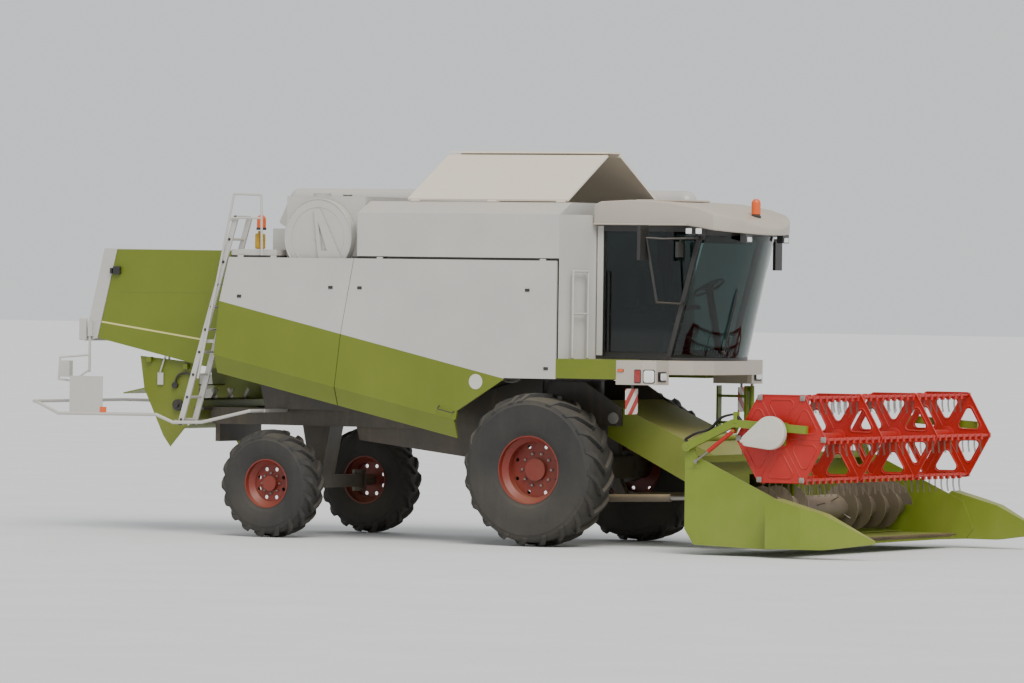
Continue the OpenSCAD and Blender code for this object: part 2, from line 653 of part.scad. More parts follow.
/* Front of the machine */
lamp_bar_z = [2050, 2215];
lamp_block_z = [1930, 2215];
beam_front_x = 1088;
platform_top = 2219;
lamp_bar_outline = [[beam_front_x + fit_gap, 1440], [1440, 1440], [1590, 1380], [1600, 1080], [1820, 900], [1960, 620], [2010, 0]];
headlamp_lo = [1560, 1140, 1965];
headlamp_size = [60, 200, 120];
module front_bumper() from_axle() color(roof_white) difference() {
    union() {
        linear_prism(concat(lamp_bar_outline, [for (i = [len(lamp_bar_outline) - 2 : -1 : 0])
            [lamp_bar_outline[i][0], -lamp_bar_outline[i][1]]],
            [[beam_front_x + fit_gap, -880], [1500, -880], [1780, 0], [1500, 880], [beam_front_x + fit_gap, 880]]), lamp_bar_z[0], lamp_bar_z[1]);
        both_sides() linear_prism([[beam_front_x + fit_gap, 1440], [1440, 1440], [1590, 1380], [1600, 1080], [1550, 1060],
            [beam_front_x + fit_gap, 1060]],
            lamp_block_z[0], lamp_bar_z[0] + 1);
        // Pin and foot that carry the access ladder
        translate([steps_post[0], steps_post[1], steps_low - 20]) cylinder(h = lamp_block_z[0] - steps_low + 21, r = 18);
        translate([steps_post[0], steps_post[1], steps_low - 21]) cylinder(h = 20, r = 30);
    }
    both_sides() translate(headlamp_lo) cube(headlamp_size);
}

// Upright post of the access ladder
steps_post = [1440, 1400];
steps_top = 1900;
steps_low = 1500;

module platform_beam() {
    difference() {
        block([body_front + fit_gap, cab_y + fit_gap, 1990], [beam_front_x, side_y, platform_top]);
        block([body_front + 20, cab_y + 20, 1980], [beam_front_x - 20, side_y - 20, platform_top - 20]);
    }
}

beacon_r = 55;
beacon_h = 130;
roof_beacon = [2170, 0, 3950];
deck_beacon = [-3900, -1200, 3700];
roof_lamp_y = 480;
// Lamps of all kinds: head lamps, work lamps on the roof, beacons and rear lamps
// Height just under the roof's front slope
function roof_under(x) = cab_ceiling - (x - 1740) * (cab_ceiling - 3700) / (2436 - 1740) - fit_gap;
module lamps() from_axle() color("orange") {
    both_sides() {
        translate(headlamp_lo + [0, 4, 4]) cube(headlamp_size - [24, 8, 8]);
        // Work lamps under the visor
        block([2250, roof_lamp_y - 80, 3612], [2330, roof_lamp_y + 80, roof_under(2330)]);
        // Pair of work lamps at the top of each front post
        for (x = [1750, 1880]) block([x, cab_y + 4 + door_gap + door_t, 3690], [x + 100, cab_y + 90, roof_under(x + 100)]);
    }
    translate(roof_beacon) cylinder(h = beacon_h, r = beacon_r);
    translate(roof_beacon + [0, 0, beacon_h]) sphere(beacon_r - 1);
    translate(roof_beacon - [0, 0, 20.5]) cylinder(h = 21, r = 20);
    rod([deck_beacon[0], deck_beacon[1], deck_z + deck_t + 70], deck_beacon, 12);
    translate(deck_beacon) cylinder(h = beacon_h, r = beacon_r);
    translate(deck_beacon + [0, 0, beacon_h]) sphere(beacon_r - 1);
}

// Platform beside the cab on the left, the beam that mirrors it on the right, and the grab rail
module walkway() from_axle() color(arm_green) {
    both_sides() platform_beam();
    // Grab rail on the right corner panel
    mirror([0, 1, 0]) {
        bent_tube(grab_rail, rail_tube_r);
        rod([grab_a2[0], grab_a2[1], 2750], [grab_b2[0], grab_b2[1], 2750], rail_tube_r - 2);
    }
}
corner_dir = [corner_x - tank_front_x, -(side_y - cab_y - 20)] / norm([corner_x - tank_front_x, side_y - cab_y - 20]);
corner_out = [-corner_dir[1], corner_dir[0]];
grab_a = [tank_front_x, side_y] + 170 * corner_dir;
grab_b = [tank_front_x, side_y] + 420 * corner_dir;
grab_a2 = grab_a + 70 * corner_out;
grab_b2 = grab_b + 70 * corner_out;
grab_z = [2230, 3250];
grab_rail = [[grab_a2[0], grab_a2[1], grab_z[0] - 30], [grab_a2[0], grab_a2[1], grab_z[1]],
    [grab_b2[0], grab_b2[1], grab_z[1]], [grab_b2[0], grab_b2[1], grab_z[0] - 30]];

// Rear ladder on the right with its hand loop
ladder_foot = [-4860, 1340];
ladder_head = [-4110, 3860];
ladder_near_y = -1440;
ladder_far_y = -1120;
rung_pitch = 285;
stile_w = 70;
stile_t = 26;
ladder_steps = floor(norm(ladder_head - ladder_foot) / rung_pitch);
module rear_ladder() from_axle() color(panel_white) {
    for (y = [ladder_near_y, ladder_far_y]) bar(ladder_foot, ladder_head, stile_w, y - stile_t / 2, y + stile_t / 2);
    for (i = [0 : ladder_steps]) {
        p = ladder_foot + (ladder_head - ladder_foot) * (60 + i * rung_pitch) / norm(ladder_head - ladder_foot);
        cross_pin(p[0], p[1], 16, ladder_near_y, ladder_far_y);
    }
    // Hand loop, from the deck round to a hook beside the lower step
    loop_y = ladder_near_y - 40;
    bent_tube([[-3740, loop_y + 30, deck_z + deck_t], [-3740, loop_y, 4120], [-4120, loop_y, 4130],
        [-4600, loop_y, 1900], [-4560, loop_y, 1790], [-4480, loop_y, 1790]], rail_tube_r);
    rod([-3740, loop_y, 3840], [-4160, loop_y, 3840], rail_tube_r - 2);
    rod([-4125, ladder_near_y, 3812], [-4188, loop_y, 3812], 10);
    rod([-4528, ladder_near_y, 2400], [-4492, loop_y, 2400], 10);
    // Brackets to the bulkhead
    for (z = [2350, 3150]) {
        x = ladder_foot[0] + (ladder_head[0] - ladder_foot[0]) * (z - ladder_foot[1]) / (ladder_head[1] - ladder_foot[1]);
        block([x - 8, ladder_near_y, z - 20], [x + 8, ladder_far_y, z + 20]);
        for (y = [ladder_near_y + 60, ladder_far_y]) block([x, y - 9, z - 20], [ladder_wall(z - 20) - fit_gap, y + 9, z + 20]);
    }
    block([-4230, ladder_far_y - 13, deck_z + deck_t], [-4190 - fit_gap, ladder_far_y + 13, deck_z + deck_t + 40]);
}
function ladder_wall(z) = bulkhead_head[0] + (bulkhead_foot[0] - bulkhead_head[0]) * (bulkhead_head[1] - z)
    / (bulkhead_head[1] - bulkhead_foot[1]);

// Mirrors: a bent frame with two on the right post, and one on a short arm on the left post
module mirrors() from_axle() color(chassis_black) {
    bent_tube([[1862, -cab_y - 20, 3655], [1560, -cab_y - 330, 3640], [1380, -cab_y - 420, 3650],
        [1480, -cab_y - 330, 2895], [1645, -cab_y - 20, 2880]], rail_tube_r);
    block([1836, -cab_y - 40, 3635], [1866, -cab_y - fit_gap, 3675]);
    block([1629, -cab_y - 40, 2860], [1661, -cab_y - fit_gap, 2900]);
    block([1330, -cab_y - 560, 3390], [1372, -cab_y - 350, 3800]);
    rod([1710, -cab_y - 175, 3655], [1690, -cab_y - 175, 3600], 9);
    block([1672, -cab_y - 245, 3430], [1708, -cab_y - 105, 3610]);
    bent_tube([[1862, cab_y + 20, 3655], [1900, cab_y + 240, 3655], [1900, cab_y + 240, 3600]], rail_tube_r);
    block([1836, cab_y + fit_gap, 3635], [1866, cab_y + 40, 3675]);
    block([1882, cab_y + 180, 3290], [1918, cab_y + 360, 3640]);
}

/* Rear axle */
knuckle_top_z = rear_tyre_r + 130;
knuckle_low_z = rear_tyre_r - 130;
kingpin_r = 35;
module rear_axle() from_axle() color(chassis_black) {
    block([rear_axle_x - rear_beam / 2, -(kingpin_y - 10), rear_tyre_r - rear_beam / 2],
        [rear_axle_x + rear_beam / 2, kingpin_y - 10, rear_tyre_r + rear_beam / 2]);
    // Pivot saddle up to the frame's cross member
    side_prism([[rear_axle_x - 200, rail_z + 20], [rear_axle_x + 200, rail_z + 20],
        [rear_axle_x + rear_beam / 2, rear_tyre_r + rear_beam / 2], [rear_axle_x - rear_beam / 2, rear_tyre_r + rear_beam / 2]],
        -160, 160);
    both_sides() {
        // Kingpin boss and pin
        translate([rear_axle_x, kingpin_y, rear_tyre_r - 75]) cylinder(h = 150, r = 62);
        translate([rear_axle_x, kingpin_y, knuckle_low_z]) cylinder(h = knuckle_top_z - knuckle_low_z, r = kingpin_r);
        // Steering cylinder along the beam's back
        rod([rear_axle_x - rear_beam / 2 - 30, 160, rear_tyre_r + 20], [rear_axle_x - rear_beam / 2 - 30, 560, rear_tyre_r + 20], 32);
    }
}

module knuckle() {
    difference() {
        union() {
            for (z = [knuckle_low_z, rear_tyre_r + 75 + 4]) translate([rear_axle_x, kingpin_y, z])
                cylinder(h = knuckle_top_z - rear_tyre_r - 79, r = 66);
            block([rear_axle_x - 55, kingpin_y + 66 + 4, knuckle_low_z], [rear_axle_x + 55, kingpin_y + 110, knuckle_top_z]);
            for (z = [knuckle_low_z, rear_tyre_r + 79])
                block([rear_axle_x - 50, kingpin_y + 30, z], [rear_axle_x + 50, kingpin_y + 80, z + knuckle_top_z - rear_tyre_r - 79]);
            cross_pin(rear_axle_x, rear_tyre_r, 70, kingpin_y + 100, rear_wheel_y + rear_disc_y - rim_t - fit_gap);
        }
        translate([rear_axle_x, kingpin_y, 0]) cylinder(h = 3000, r = kingpin_r + fit_gap);
    }
}
module knuckle_left() from_axle() color(chassis_black) knuckle();
module knuckle_right() from_axle() color(chassis_black) mirror([0, 1, 0]) knuckle();

/* Wheels: tyre and rim turn about the Y axis at the wheel's middle, outer side at +Y */
module wheel_spin(x, y, z) translate([x, y, z]) rotate([-90, 0, 0]) children();

module tyre(r, w, rim_r) {
    side = w / 2;
    rotate_extrude($fn = 72) polygon([[rim_r - 26, -side + 75], [rim_r - 26, -side + 45], [rim_r + 25, -side + 30],
        [(r + rim_r) / 2, -side], [r - 105, -side + 12], [r - lug_h, -side + 60], [r - lug_h, side - 60], [r - 105, side - 12],
        [(r + rim_r) / 2, side], [rim_r + 25, side - 30], [rim_r - 26, side - 45], [rim_r - 26, side - 75]]);
    rotate_extrude($fn = 72) polygon([[r - lug_h - 5, -side + 90], [r, -side + 110], [r, side - 110], [r - lug_h - 5, side - 90]]);
}

module rim(w, rim_r, disc_y, hub_r) {
    half = w / 2 - 48;
    bead_r = rim_r - 26 - fit_gap;
    difference() {
        union() {
            rotate_extrude($fn = 72) polygon([[bead_r - rim_t, -half - 4], [bead_r, -half - 4], [bead_r, -half + 60],
                [bead_r - 60, -half + 110], [bead_r - 60, half - 110], [bead_r, half - 60], [bead_r, half + 4],
                [bead_r - rim_t, half + 4], [bead_r - rim_t, half - 65], [bead_r - 60 - rim_t, half - 118],
                [bead_r - 60 - rim_t, 118 - half], [bead_r - rim_t, 65 - half]]);
            translate([0, 0, disc_y - rim_t]) cylinder(h = rim_t, r = bead_r - 62);
            translate([0, 0, disc_y - 1]) cylinder(h = 60, r = hub_r);
        }
        for (a = [0 : 45 : 315]) rotate([0, 0, a + 22.5]) translate([bead_r - 115, 0, disc_y - rim_t - 1])
            cylinder(h = rim_t + 2, r = 24);
    }
}

module front_wheel_place() wheel_spin(0, front_wheel_y, front_tyre_r) children();
module rear_wheel_place() wheel_spin(rear_axle_x, rear_wheel_y, rear_tyre_r) children();
module front_tyre_left() from_axle() color(tyre_black) front_wheel_place() tyre(front_tyre_r, front_tyre_w, front_rim_r);
module front_tyre_right() from_axle() color(tyre_black) mirror([0, 1, 0]) front_wheel_place()
    tyre(front_tyre_r, front_tyre_w, front_rim_r);
module rear_tyre_left() from_axle() color(tyre_black) rear_wheel_place() tyre(rear_tyre_r, rear_tyre_w, rear_rim_r);
module rear_tyre_right() from_axle() color(tyre_black) mirror([0, 1, 0]) rear_wheel_place()
    tyre(rear_tyre_r, rear_tyre_w, rear_rim_r);
module front_rim_left() from_axle() color(reel_red) front_wheel_place() rim(front_tyre_w, front_rim_r, front_disc_y, 130);
module front_rim_right() from_axle() color(reel_red) mirror([0, 1, 0]) front_wheel_place()
    rim(front_tyre_w, front_rim_r, front_disc_y, 130);
module rear_rim_left() from_axle() color(reel_red) rear_wheel_place() rim(rear_tyre_w, rear_rim_r, rear_disc_y, 90);
module rear_rim_right() from_axle() color(reel_red) mirror([0, 1, 0]) rear_wheel_place()
    rim(rear_tyre_w, rear_rim_r, rear_disc_y, 90);

/* Rear end */
guard_y = 1480;
guard_path = [[-3870, guard_y - 330, 1520], [-3870, guard_y, 1520], [-4540, guard_y, 1370], [-4940, guard_y, 1360],
    [-5180, guard_y, 1450], [-6580, guard_y, 1440], [-6900, guard_y - 60, 1560], [guard_tip_x, guard_y - 420, 1570]];
module rear_guard() from_axle() color(panel_white) {
    bent_tube(concat(guard_path, [for (i = [len(guard_path) - 1 : -1 : 0])
        [guard_path[i][0], -guard_path[i][1], guard_path[i][2]]]), guard_r);
    both_sides() {
        // Stay from the frame rail out to the tube
        block([-3900, rail_y + rail_w / 2 + fit_gap, 1500], [-3840, guard_y - 320, 1540]);
        block([frame_rear_x, rail_y + rail_w / 2 + fit_gap, rail_z + 10], [frame_rear_x + 26, guard_y - 4, rail_z + 50]);
        // Lamp carrier that hangs from the hood's rear corner
        rod([-6480, hood_y + 36, 2400], [-6480, hood_y + 36, 1940], rail_tube_r + 2);
        bent_tube([[-6480, hood_y + 40, 1970], [-6560, hood_y + 280, 1830], [-6740, hood_y + 330, 1850],
            [-6720, hood_y + 330, 2120], [-6480, hood_y + 40, 2150]], rail_tube_r - 2);
        block([-6500, hood_y + 10 + fit_gap, 2380], [-6440, hood_y + 58, 2560]);
        block([-6725, hood_y + 260, 1880], [-6580, hood_y + 340, 2080]);
        side_prism([[-6420, 1440], [-5950, 1440], [-5950, 1900], [-6420, 1900]], guard_y - 4, guard_y + 4);
    }
}

// Straw chopper under the hood: two side plates, a knife bar carrier, and a back board
chopper_y = 820;
chopper_axis = [-5260, 1560];
chopper_r = 230;
chopper_plate = [[-4980, 2075], [-5820, 2150], [-5760, 1750], [-5480, 1180], [-5380, 1050], [-4980, 1500]];
module chopper_housing() from_axle() color(green) difference() {
    union() {
        both_sides() side_prism(chopper_plate, chopper_y - 12, chopper_y);
        // Curved trough behind and below the rotor
        intersection() {
            cross_pin(chopper_axis[0], chopper_axis[1], chopper_r + 60, -chopper_y + 1, chopper_y - 1, chopper_r + 48);
            side_prism([chopper_axis, chopper_axis + [900, 200], chopper_axis + [900, -900], chopper_axis + [-300, -900]],
                -chopper_y, chopper_y);
        }
        // Spreader board towards the rear
        bar(chopper_axis + [-330, 230], [-6060, 1690], 16, -chopper_y + 1, chopper_y - 1);
        both_sides() {
            block([-5180, chopper_y - 1, 2000], [-5120, hood_y - hood_t, 2060]);
            block([-5700, chopper_y - 1, 2080], [-5640, hood_y - hood_t, 2140]);
        }
    }
    cross_pin(chopper_axis[0], chopper_axis[1], 40 + fit_gap, -far, far);
}

module chopper_rotor() from_axle() color(steel) {
    cross_pin(chopper_axis[0], chopper_axis[1], 40, -chopper_y - 40, chopper_y + 40);
    cross_pin(chopper_axis[0], chopper_axis[1], 80, -chopper_y + 20, chopper_y - 20);
    for (i = [0 : 11]) translate([chopper_axis[0], -chopper_y + 80 + i * 126, chopper_axis[1]]) rotate([0, i * 60, 0])
        block([-chopper_r + 10, 0, -20], [chopper_r - 10, 10, 20]);
}

// Clevis for a drawbar's eye
hitch_x = frame_rear_x - 120;
hitch_z = rail_z - 130;
module tow_hitch() from_axle() color(chassis_black) {
    block([frame_rear_x, -(rail_y - rail_w / 2 - 1), hitch_z - 90], [frame_rear_x + 60, rail_y - rail_w / 2 - 1, rail_z + 20]);
    difference() {
        for (s = [0, 1]) block([hitch_x - 55, -50, hitch_z - hitch_gap / 2 - hitch_ear + s * (hitch_gap + hitch_ear)],
            [frame_rear_x + 1, 50, hitch_z - hitch_gap / 2 + s * (hitch_gap + hitch_ear)]);
        translate([hitch_x, 0, hitch_z - 200]) cylinder(h = 400, r = hitch_r);
    }
}

/* Unloading auger on the left */
spout_x = 480;
spout_z = 4100;
spout_rear_x = -4900;
column_low_z = 2300;
column_top_z = 3780;
module unloading_auger() from_axle() color(panel_white) {
    difference() {
        union() {
            translate([spout_x, side_y, column_top_z + fit_gap]) cylinder(h = spout_z - column_top_z - fit_gap, r = spout_r);
            rod([spout_x, side_y, spout_z], [spout_rear_x, side_y, spout_z], spout_r);
            translate([spout_x, side_y, spout_z]) sphere(spout_r * 1.01);
            // Spout end, turned down
            translate([spout_rear_x, side_y, spout_z]) sphere(spout_r * 1.01);
            rod([spout_rear_x, side_y, spout_z], [spout_rear_x - 160, side_y, spout_z - 330], spout_r);
        }
        // Open mouth
        rod([spout_rear_x, side_y, spout_z], [spout_rear_x - 200, side_y, spout_z - 412], spout_r - 12);
    }
}

// Ladder to the cab on the left, which swings forward about an upright post
steps_x = 1000;
steps_w = 24;
step_z = [480, 800, 1120, 1440, 1760];
module access_ladder() from_axle() color(arm_green) {
    difference() {
        translate([steps_post[0], steps_post[1], steps_low]) cylinder(h = steps_top - steps_low, r = 30);
        translate([steps_post[0], steps_post[1], 0]) cylinder(h = far, r = 18 + fit_gap);
    }
    for (x = [steps_x, steps_post[0] - 64]) block([x, steps_post[1] - 80, step_z[0] - 60], [x + steps_w, steps_post[1] + 20, steps_top]);
    for (z = step_z) block([steps_x, steps_post[1] - 80, z], [steps_post[0] - 50, steps_post[1] + 100, z + 30]);
    for (z = [1520, 1840]) block([steps_post[0] - 50, steps_post[1] - 15, z], [steps_post[0] - 20, steps_post[1] + 15, z + 50]);
}

/* Feeder house and header */
feeder_outline = [[600, 1730], [2380, 955], [2380, 430], [600, 1300]];
header_back_x = 2440;
module feeder_house() from_axle() color(green) difference() {
    union() {
        side_prism(feeder_outline, -feeder_y, feeder_y);
        both_sides() {
            // Collars that turn on the pivot
            cross_pin(pivot_x, pivot_z, 110, feeder_y - 1, feeder_y + 3);
            // Round cover on the side
            cross_pin(1960, 930, 90, feeder_y - 1, feeder_y + 14);
            // Ears on the underside beside the lift cylinders' eyes
            side_prism([[lift_eye[0] - 120, 832], [lift_eye[0] + 120, 714], [lift_eye[0] + 60, lift_eye[1] - 40],
                [lift_eye[0] - 60, lift_eye[1] - 40]], lift_y - lift_eye_w / 2 - 26, lift_y - lift_eye_w / 2 - swing_gap);
        }
        cross_pin(pivot_x, pivot_z, pivot_r, -(feeder_y + swing_gap + pivot_plate_t + 10), feeder_y + swing_gap + pivot_plate_t + 10);
        block([2300, -feeder_y - 20, 430], [2380, feeder_y + 20, 470]);
    }
    side_prism([[590, 1720 - feeder_t], [2390, 940 - feeder_t], [2390, 470], [590, 1310 + feeder_t]],
        -feeder_y + feeder_t, feeder_y - feeder_t);
}

lift_eye = [1700, 600];

// Table of the header: back wall, floor, side sheets, dividers and skids
table_floor_z = 160;
table_floor_t = 14;
knife_x = 3780;
back_top_z = 1120;
auger_x = 2960;
auger_z = 505;
mouth_half = feeder_y - 60;
arm_pivot = [2490, 1250];
arm_y = 2300;
arm_w = 60;
arm_pin_r = 24;
side_sheet = [[header_back_x, 300], [2560, 120], [3500, 90], [3900, 110], [4000, 240], [3860, 560], [2700, 1090],
    [header_back_x, 1180]];
divider_side = [[3600, 110], [4300, 110], [divider_tip_x, 190], [divider_tip_x - 10, 230], [4300, 520], [3700, 680], [3600, 600]];
divider_plan = [[3600, header_y], [4050, header_y], [divider_tip_x, cut_y + 60], [divider_tip_x, cut_y + 20],
    [4200, cut_y - 1], [3600, cut_y - 1]];
module header_table() from_axle() color(green) {
    difference() {
        union() {
            // Back wall and its beams
            block([header_back_x, -cut_y, 300], [header_back_x + 14, cut_y, back_top_z]);
            block([header_back_x, -cut_y, back_top_z - 60], [header_back_x + 120, cut_y, back_top_z + 20]);
            block([header_back_x - 50, -cut_y + 200, 250], [header_back_x + 14, cut_y - 200, 340]);
            // Trough round the auger and floor out to the knife
            intersection() {
                cross_pin(auger_x, auger_z, auger_r + 50, -cut_y, cut_y, auger_r + 36);
                block([header_back_x, -far, 100], [auger_x + 60, far, auger_z]);
            }
            block([auger_x, -cut_y, table_floor_z], [knife_x - 60, cut_y, table_floor_z + table_floor_t]);
            block([knife_x - 120, -cut_y, table_floor_z - 50], [knife_x - 60, cut_y, table_floor_z + table_floor_t]);
            block([header_back_x, -cut_y, auger_z - 1], [auger_x - auger_r - 35, cut_y, auger_z + 30]);
        }
        // Mouth towards the feeder house
        block([header_back_x - 60, -mouth_half, 250], [header_back_x + 300, mouth_half, 900]);
    }
    both_sides() {
        side_prism(side_sheet, cut_y - 14, cut_y);
        intersection() {
            side_prism(divider_side, cut_y - 1, far);
            linear_prism(divider_plan, 0, 2000);
        }
        // Hooks to the feeder house's front frame
        block([2380, feeder_y - 61, 470], [header_back_x + 1, feeder_y - 20, 940]);
        // Bracket of the reel arm's pivot
        side_prism([[header_back_x, 1000], [2640, 1000], [2540, arm_pivot[1] + 45], [header_back_x, arm_pivot[1] + 45]],
            arm_y - arm_w / 2 - 6 - 20, arm_y - arm_w / 2 - 6);
        block([header_back_x, cut_y - 20, 1000], [2600, arm_y - arm_w / 2 - 25, 1100]);
        cross_pin(arm_pivot[0], arm_pivot[1], arm_pin_r, arm_y - arm_w / 2 - 26, arm_y + arm_w / 2 + 6);
        // Skids under the table
        side_prism([[2620, 110], [3450, 110], [3600, 160], [3590, 175], [3440, 130], [2640, 130], [2600, 190], [2580, 190]],
            1500, 1620);
        block([2700, 1530, 110], [2800, 1590, 240]);
        block([3450, 1530, 115], [3550, 1590, 170]);
    }
    // Knife guards
    for (i = [0 : guard_count - 1])
        side_prism([[knife_x - 61, table_floor_z - 50], [knife_x + 110, table_floor_z - 40], [knife_x + 20, table_floor_z - 22],
            [knife_x - 61, table_floor_z - 22]], -cut_y + 30 + i * guard_pitch, -cut_y + 30 + i * guard_pitch + 22);
}
guard_pitch = 152.4;
guard_count = floor((2 * cut_y - 60) / guard_pitch);

knife_stroke = 38;
module knife_bar() from_axle() color(steel) {
    block([knife_x - 54, -cut_y + 60 + knife_stroke, table_floor_z - 22 + fit_gap], [knife_x - 20, cut_y - 60 - knife_stroke, table_floor_z - 14]);
}

module intake_auger() from_axle() color(steel) {
    cross_pin(auger_x, auger_z, auger_core_r, -cut_y + 40, cut_y - 40);
    cross_pin(auger_x, auger_z, 30, -cut_y + 14 + fit_gap, cut_y - 14 - fit_gap);
    for (i = [0 : 11]) both_sides() cross_pin(auger_x, auger_z, auger_r, 640 + i * 130, 652 + i * 130);
}

// Reel arms with the cross tube that joins them
arm_kink = [3080, 1530];
arm_end = [4020, 1470];
arm_h = 90;
cross_tube = [2700, 1330];
reel_axis = [3650, 1360];
module reel_arms() from_axle() color(arm_green) both_sides() difference() {
    union() {
        bar(arm_pivot, arm_kink, arm_h, arm_y - arm_w / 2, arm_y + arm_w / 2);
        bar(arm_kink, arm_end, arm_h, arm_y - arm_w / 2, arm_y + arm_w / 2);
        cross_pin(arm_kink[0], arm_kink[1], arm_h / 2, arm_y - arm_w / 2, arm_y + arm_w / 2);
        cross_pin(arm_pivot[0], arm_pivot[1], 55, arm_y - arm_w / 2, arm_y + arm_w / 2);
        // Half of the cross tube
        cross_pin(cross_tube[0], cross_tube[1] + 20, 38, -1, arm_y - arm_w / 2 + 1);
        // Ears for the lift cylinder's barrel
        side_prism([[arm_kink[0] - 60, arm_kink[1] - 40], [arm_kink[0] + 60, arm_kink[1] - 40], [reel_pin[0] + 30, reel_pin[1] - 30],
            [reel_pin[0] - 30, reel_pin[1] - 30]], arm_y - arm_w / 2, arm_y - arm_w / 2 + 10);
        cross_pin(reel_pin[0], reel_pin[1], 14, arm_y - arm_w / 2, arm_y + 24);
    }
    cross_pin(arm_pivot[0], arm_pivot[1], arm_pin_r + fit_gap, -far, far);
}
reel_pin = [3080, 1440];
reel_foot = [2600, 1080];
reel_cyl_y = arm_y + 6;

// Carriage that slides along each arm: reel bearing, motor and the drive's cover
cover_big = [3600, 1430];
cover_small = [3310, 1340];
cover_big_r = 186;
cover_small_r = 62;
shaft_r = 30;
module reel_carriage() from_axle() {
    color(arm_green) both_sides() difference() {
        union() {
            // Shoe round the arm
            for (s = [-1, 1]) bar(arm_shoe(-1) + [0, s * (arm_h / 2 + 8)], arm_shoe(1) + [0, s * (arm_h / 2 + 8)], 14,
                arm_y - arm_w / 2 - 16, arm_y + arm_w / 2 + 2);
            side_prism([arm_shoe(-1) + [0, arm_h / 2 + 10], arm_shoe(1) + [0, arm_h / 2 + 10], [reel_axis[0] + 80, reel_axis[1] - 70],
                [reel_axis[0] - 80, reel_axis[1] - 70]], arm_y - arm_w / 2 - 16, arm_y - arm_w / 2 - 2);
            bar(arm_shoe(-1) + [0, -arm_h / 2 - 14], arm_shoe(-1) + [0, arm_h / 2 + 14], 12, arm_y + arm_w / 2 + 1, arm_y + arm_w / 2 + 14);
            bar(arm_shoe(1) + [0, -arm_h / 2 - 14], arm_shoe(1) + [0, arm_h / 2 + 14], 12, arm_y + arm_w / 2 + 1, arm_y + arm_w / 2 + 14);
        }
        cross_pin(reel_axis[0], reel_axis[1], shaft_r + fit_gap, 0, far);
    }
    color(roof_white) mirror([0, 1, 0]) {
        cover();
        block([arm_shoe(-1)[0] - 6, arm_y + arm_w / 2 + 13, arm_shoe(-1)[1] - 30], [arm_shoe(1)[0] + 6, arm_y + arm_w / 2 + 22, arm_shoe(1)[1] + 20]);
    }
}
function arm_shoe(s) = [reel_axis[0] + s * 110, arm_kink[1] + (arm_end[1] - arm_kink[1]) * (reel_axis[0] + s * 110 - arm_kink[0])
    / (arm_end[0] - arm_kink[0])];
cover_d = cover_big - cover_small;
cover_l = norm(cover_d);
cover_a = atan2(cover_d[1], cover_d[0]);
cover_tilt = acos((cover_big_r - cover_small_r) / cover_l);
module cover() {
    y_lo = arm_y + arm_w / 2 + 21;
    y_hi = y_lo + 75;
    cross_pin(cover_big[0], cover_big[1], cover_big_r, y_lo, y_hi);
    cross_pin(cover_small[0], cover_small[1], cover_small_r, y_lo, y_hi);
    side_prism([for (p = [[cover_big, cover_big_r, cover_a + 180 - cover_tilt], [cover_small, cover_small_r, cover_a + 180 - cover_tilt],
        [cover_small, cover_small_r, cover_a + 180 + cover_tilt], [cover_big, cover_big_r, cover_a + 180 + cover_tilt]])
        p[0] + p[1] * [cos(p[2]), sin(p[2])]], y_lo, y_hi);
}

// Reel: six bars of tines between end plates
reel_y = 2215;
plate_t = 8;
reel_bars = 6;
bar_r = 17;
tine_pitch = 165;
plate_y = [-reel_y, -740, 740, reel_y - plate_t];
module reel() from_axle() color(reel_red) translate([reel_axis[0], 0, reel_axis[1]]) {
    rotate([90, 0, 0]) translate([0, 0, -reel_y]) cylinder(h = 2 * reel_y, r = 55);
    rotate([90, 0, 0]) translate([0, 0, -(arm_y - arm_w / 2 - 1)]) cylinder(h = 2 * (arm_y - arm_w / 2 - 1), r = shaft_r);
    for (y = plate_y) reel_plate(y);
    for (i = [0 : reel_bars - 1]) rotate([0, i * 60, 0]) translate([reel_bar_r - bar_r, 0, 0]) {
        translate([0, reel_y + 10, 0]) rotate([90, 0, 0]) cylinder(h = 2 * reel_y + 20, r = bar_r);
        tines(i);
    }
}
module reel_plate(y) difference() {
    side_prism([for (a = [0 : 60 : 300]) (reel_bar_r + 20) * [cos(a), sin(a)]], y, y + plate_t);
    if (y != -reel_y) for (a = [30 : 60 : 330]) rotate([0, -a, 0])
        side_prism([[205, -30], [205, 30], [395, 165], [430, 140], [430, -140], [395, -165]], y - 1, y + plate_t + 1);
}
module tines(i) rotate([0, -i * 60, 0])
    for (y = [-reel_y + 90 : tine_pitch : reel_y - 60]) rod([0, y, 0], [0, y, -(bar_r + tine_l)], 5);

// Reel lift cylinders: the barrel hangs from the arm, the rod's eye is at the table's end
reel_cyl_r = 24;
reel_rod_r = 13;
function along(p, q, l) = p + (q - p) / norm(q - p) * l;
module reel_lift_barrels() from_axle() color(reel_red) both_sides() difference() {
    union() {
        cross_pin(reel_pin[0], reel_pin[1], 26, reel_cyl_y - 15, reel_cyl_y + 15);
        flat_rod(along(reel_pin, reel_foot, 20), along(reel_pin, reel_foot, 400), reel_cyl_r, reel_cyl_y);
    }
    cross_pin(reel_pin[0], reel_pin[1], 14 + fit_gap, 0, far);
    flat_rod(along(reel_pin, reel_foot, 60), along(reel_pin, reel_foot, 500), reel_rod_r + fit_gap, reel_cyl_y);
}
module flat_rod(p, q, r, y) rod([p[0], y, p[1]], [q[0], y, q[1]], r);
module reel_lift_rods() from_axle() color(steel) both_sides() {
    flat_rod(along(reel_pin, reel_foot, 200), along(reel_pin, reel_foot, norm(reel_foot - reel_pin) - 18), reel_rod_r, reel_cyl_y);
    cross_pin(reel_foot[0], reel_foot[1], 24, reel_cyl_y - 12, reel_cyl_y + 12);
}

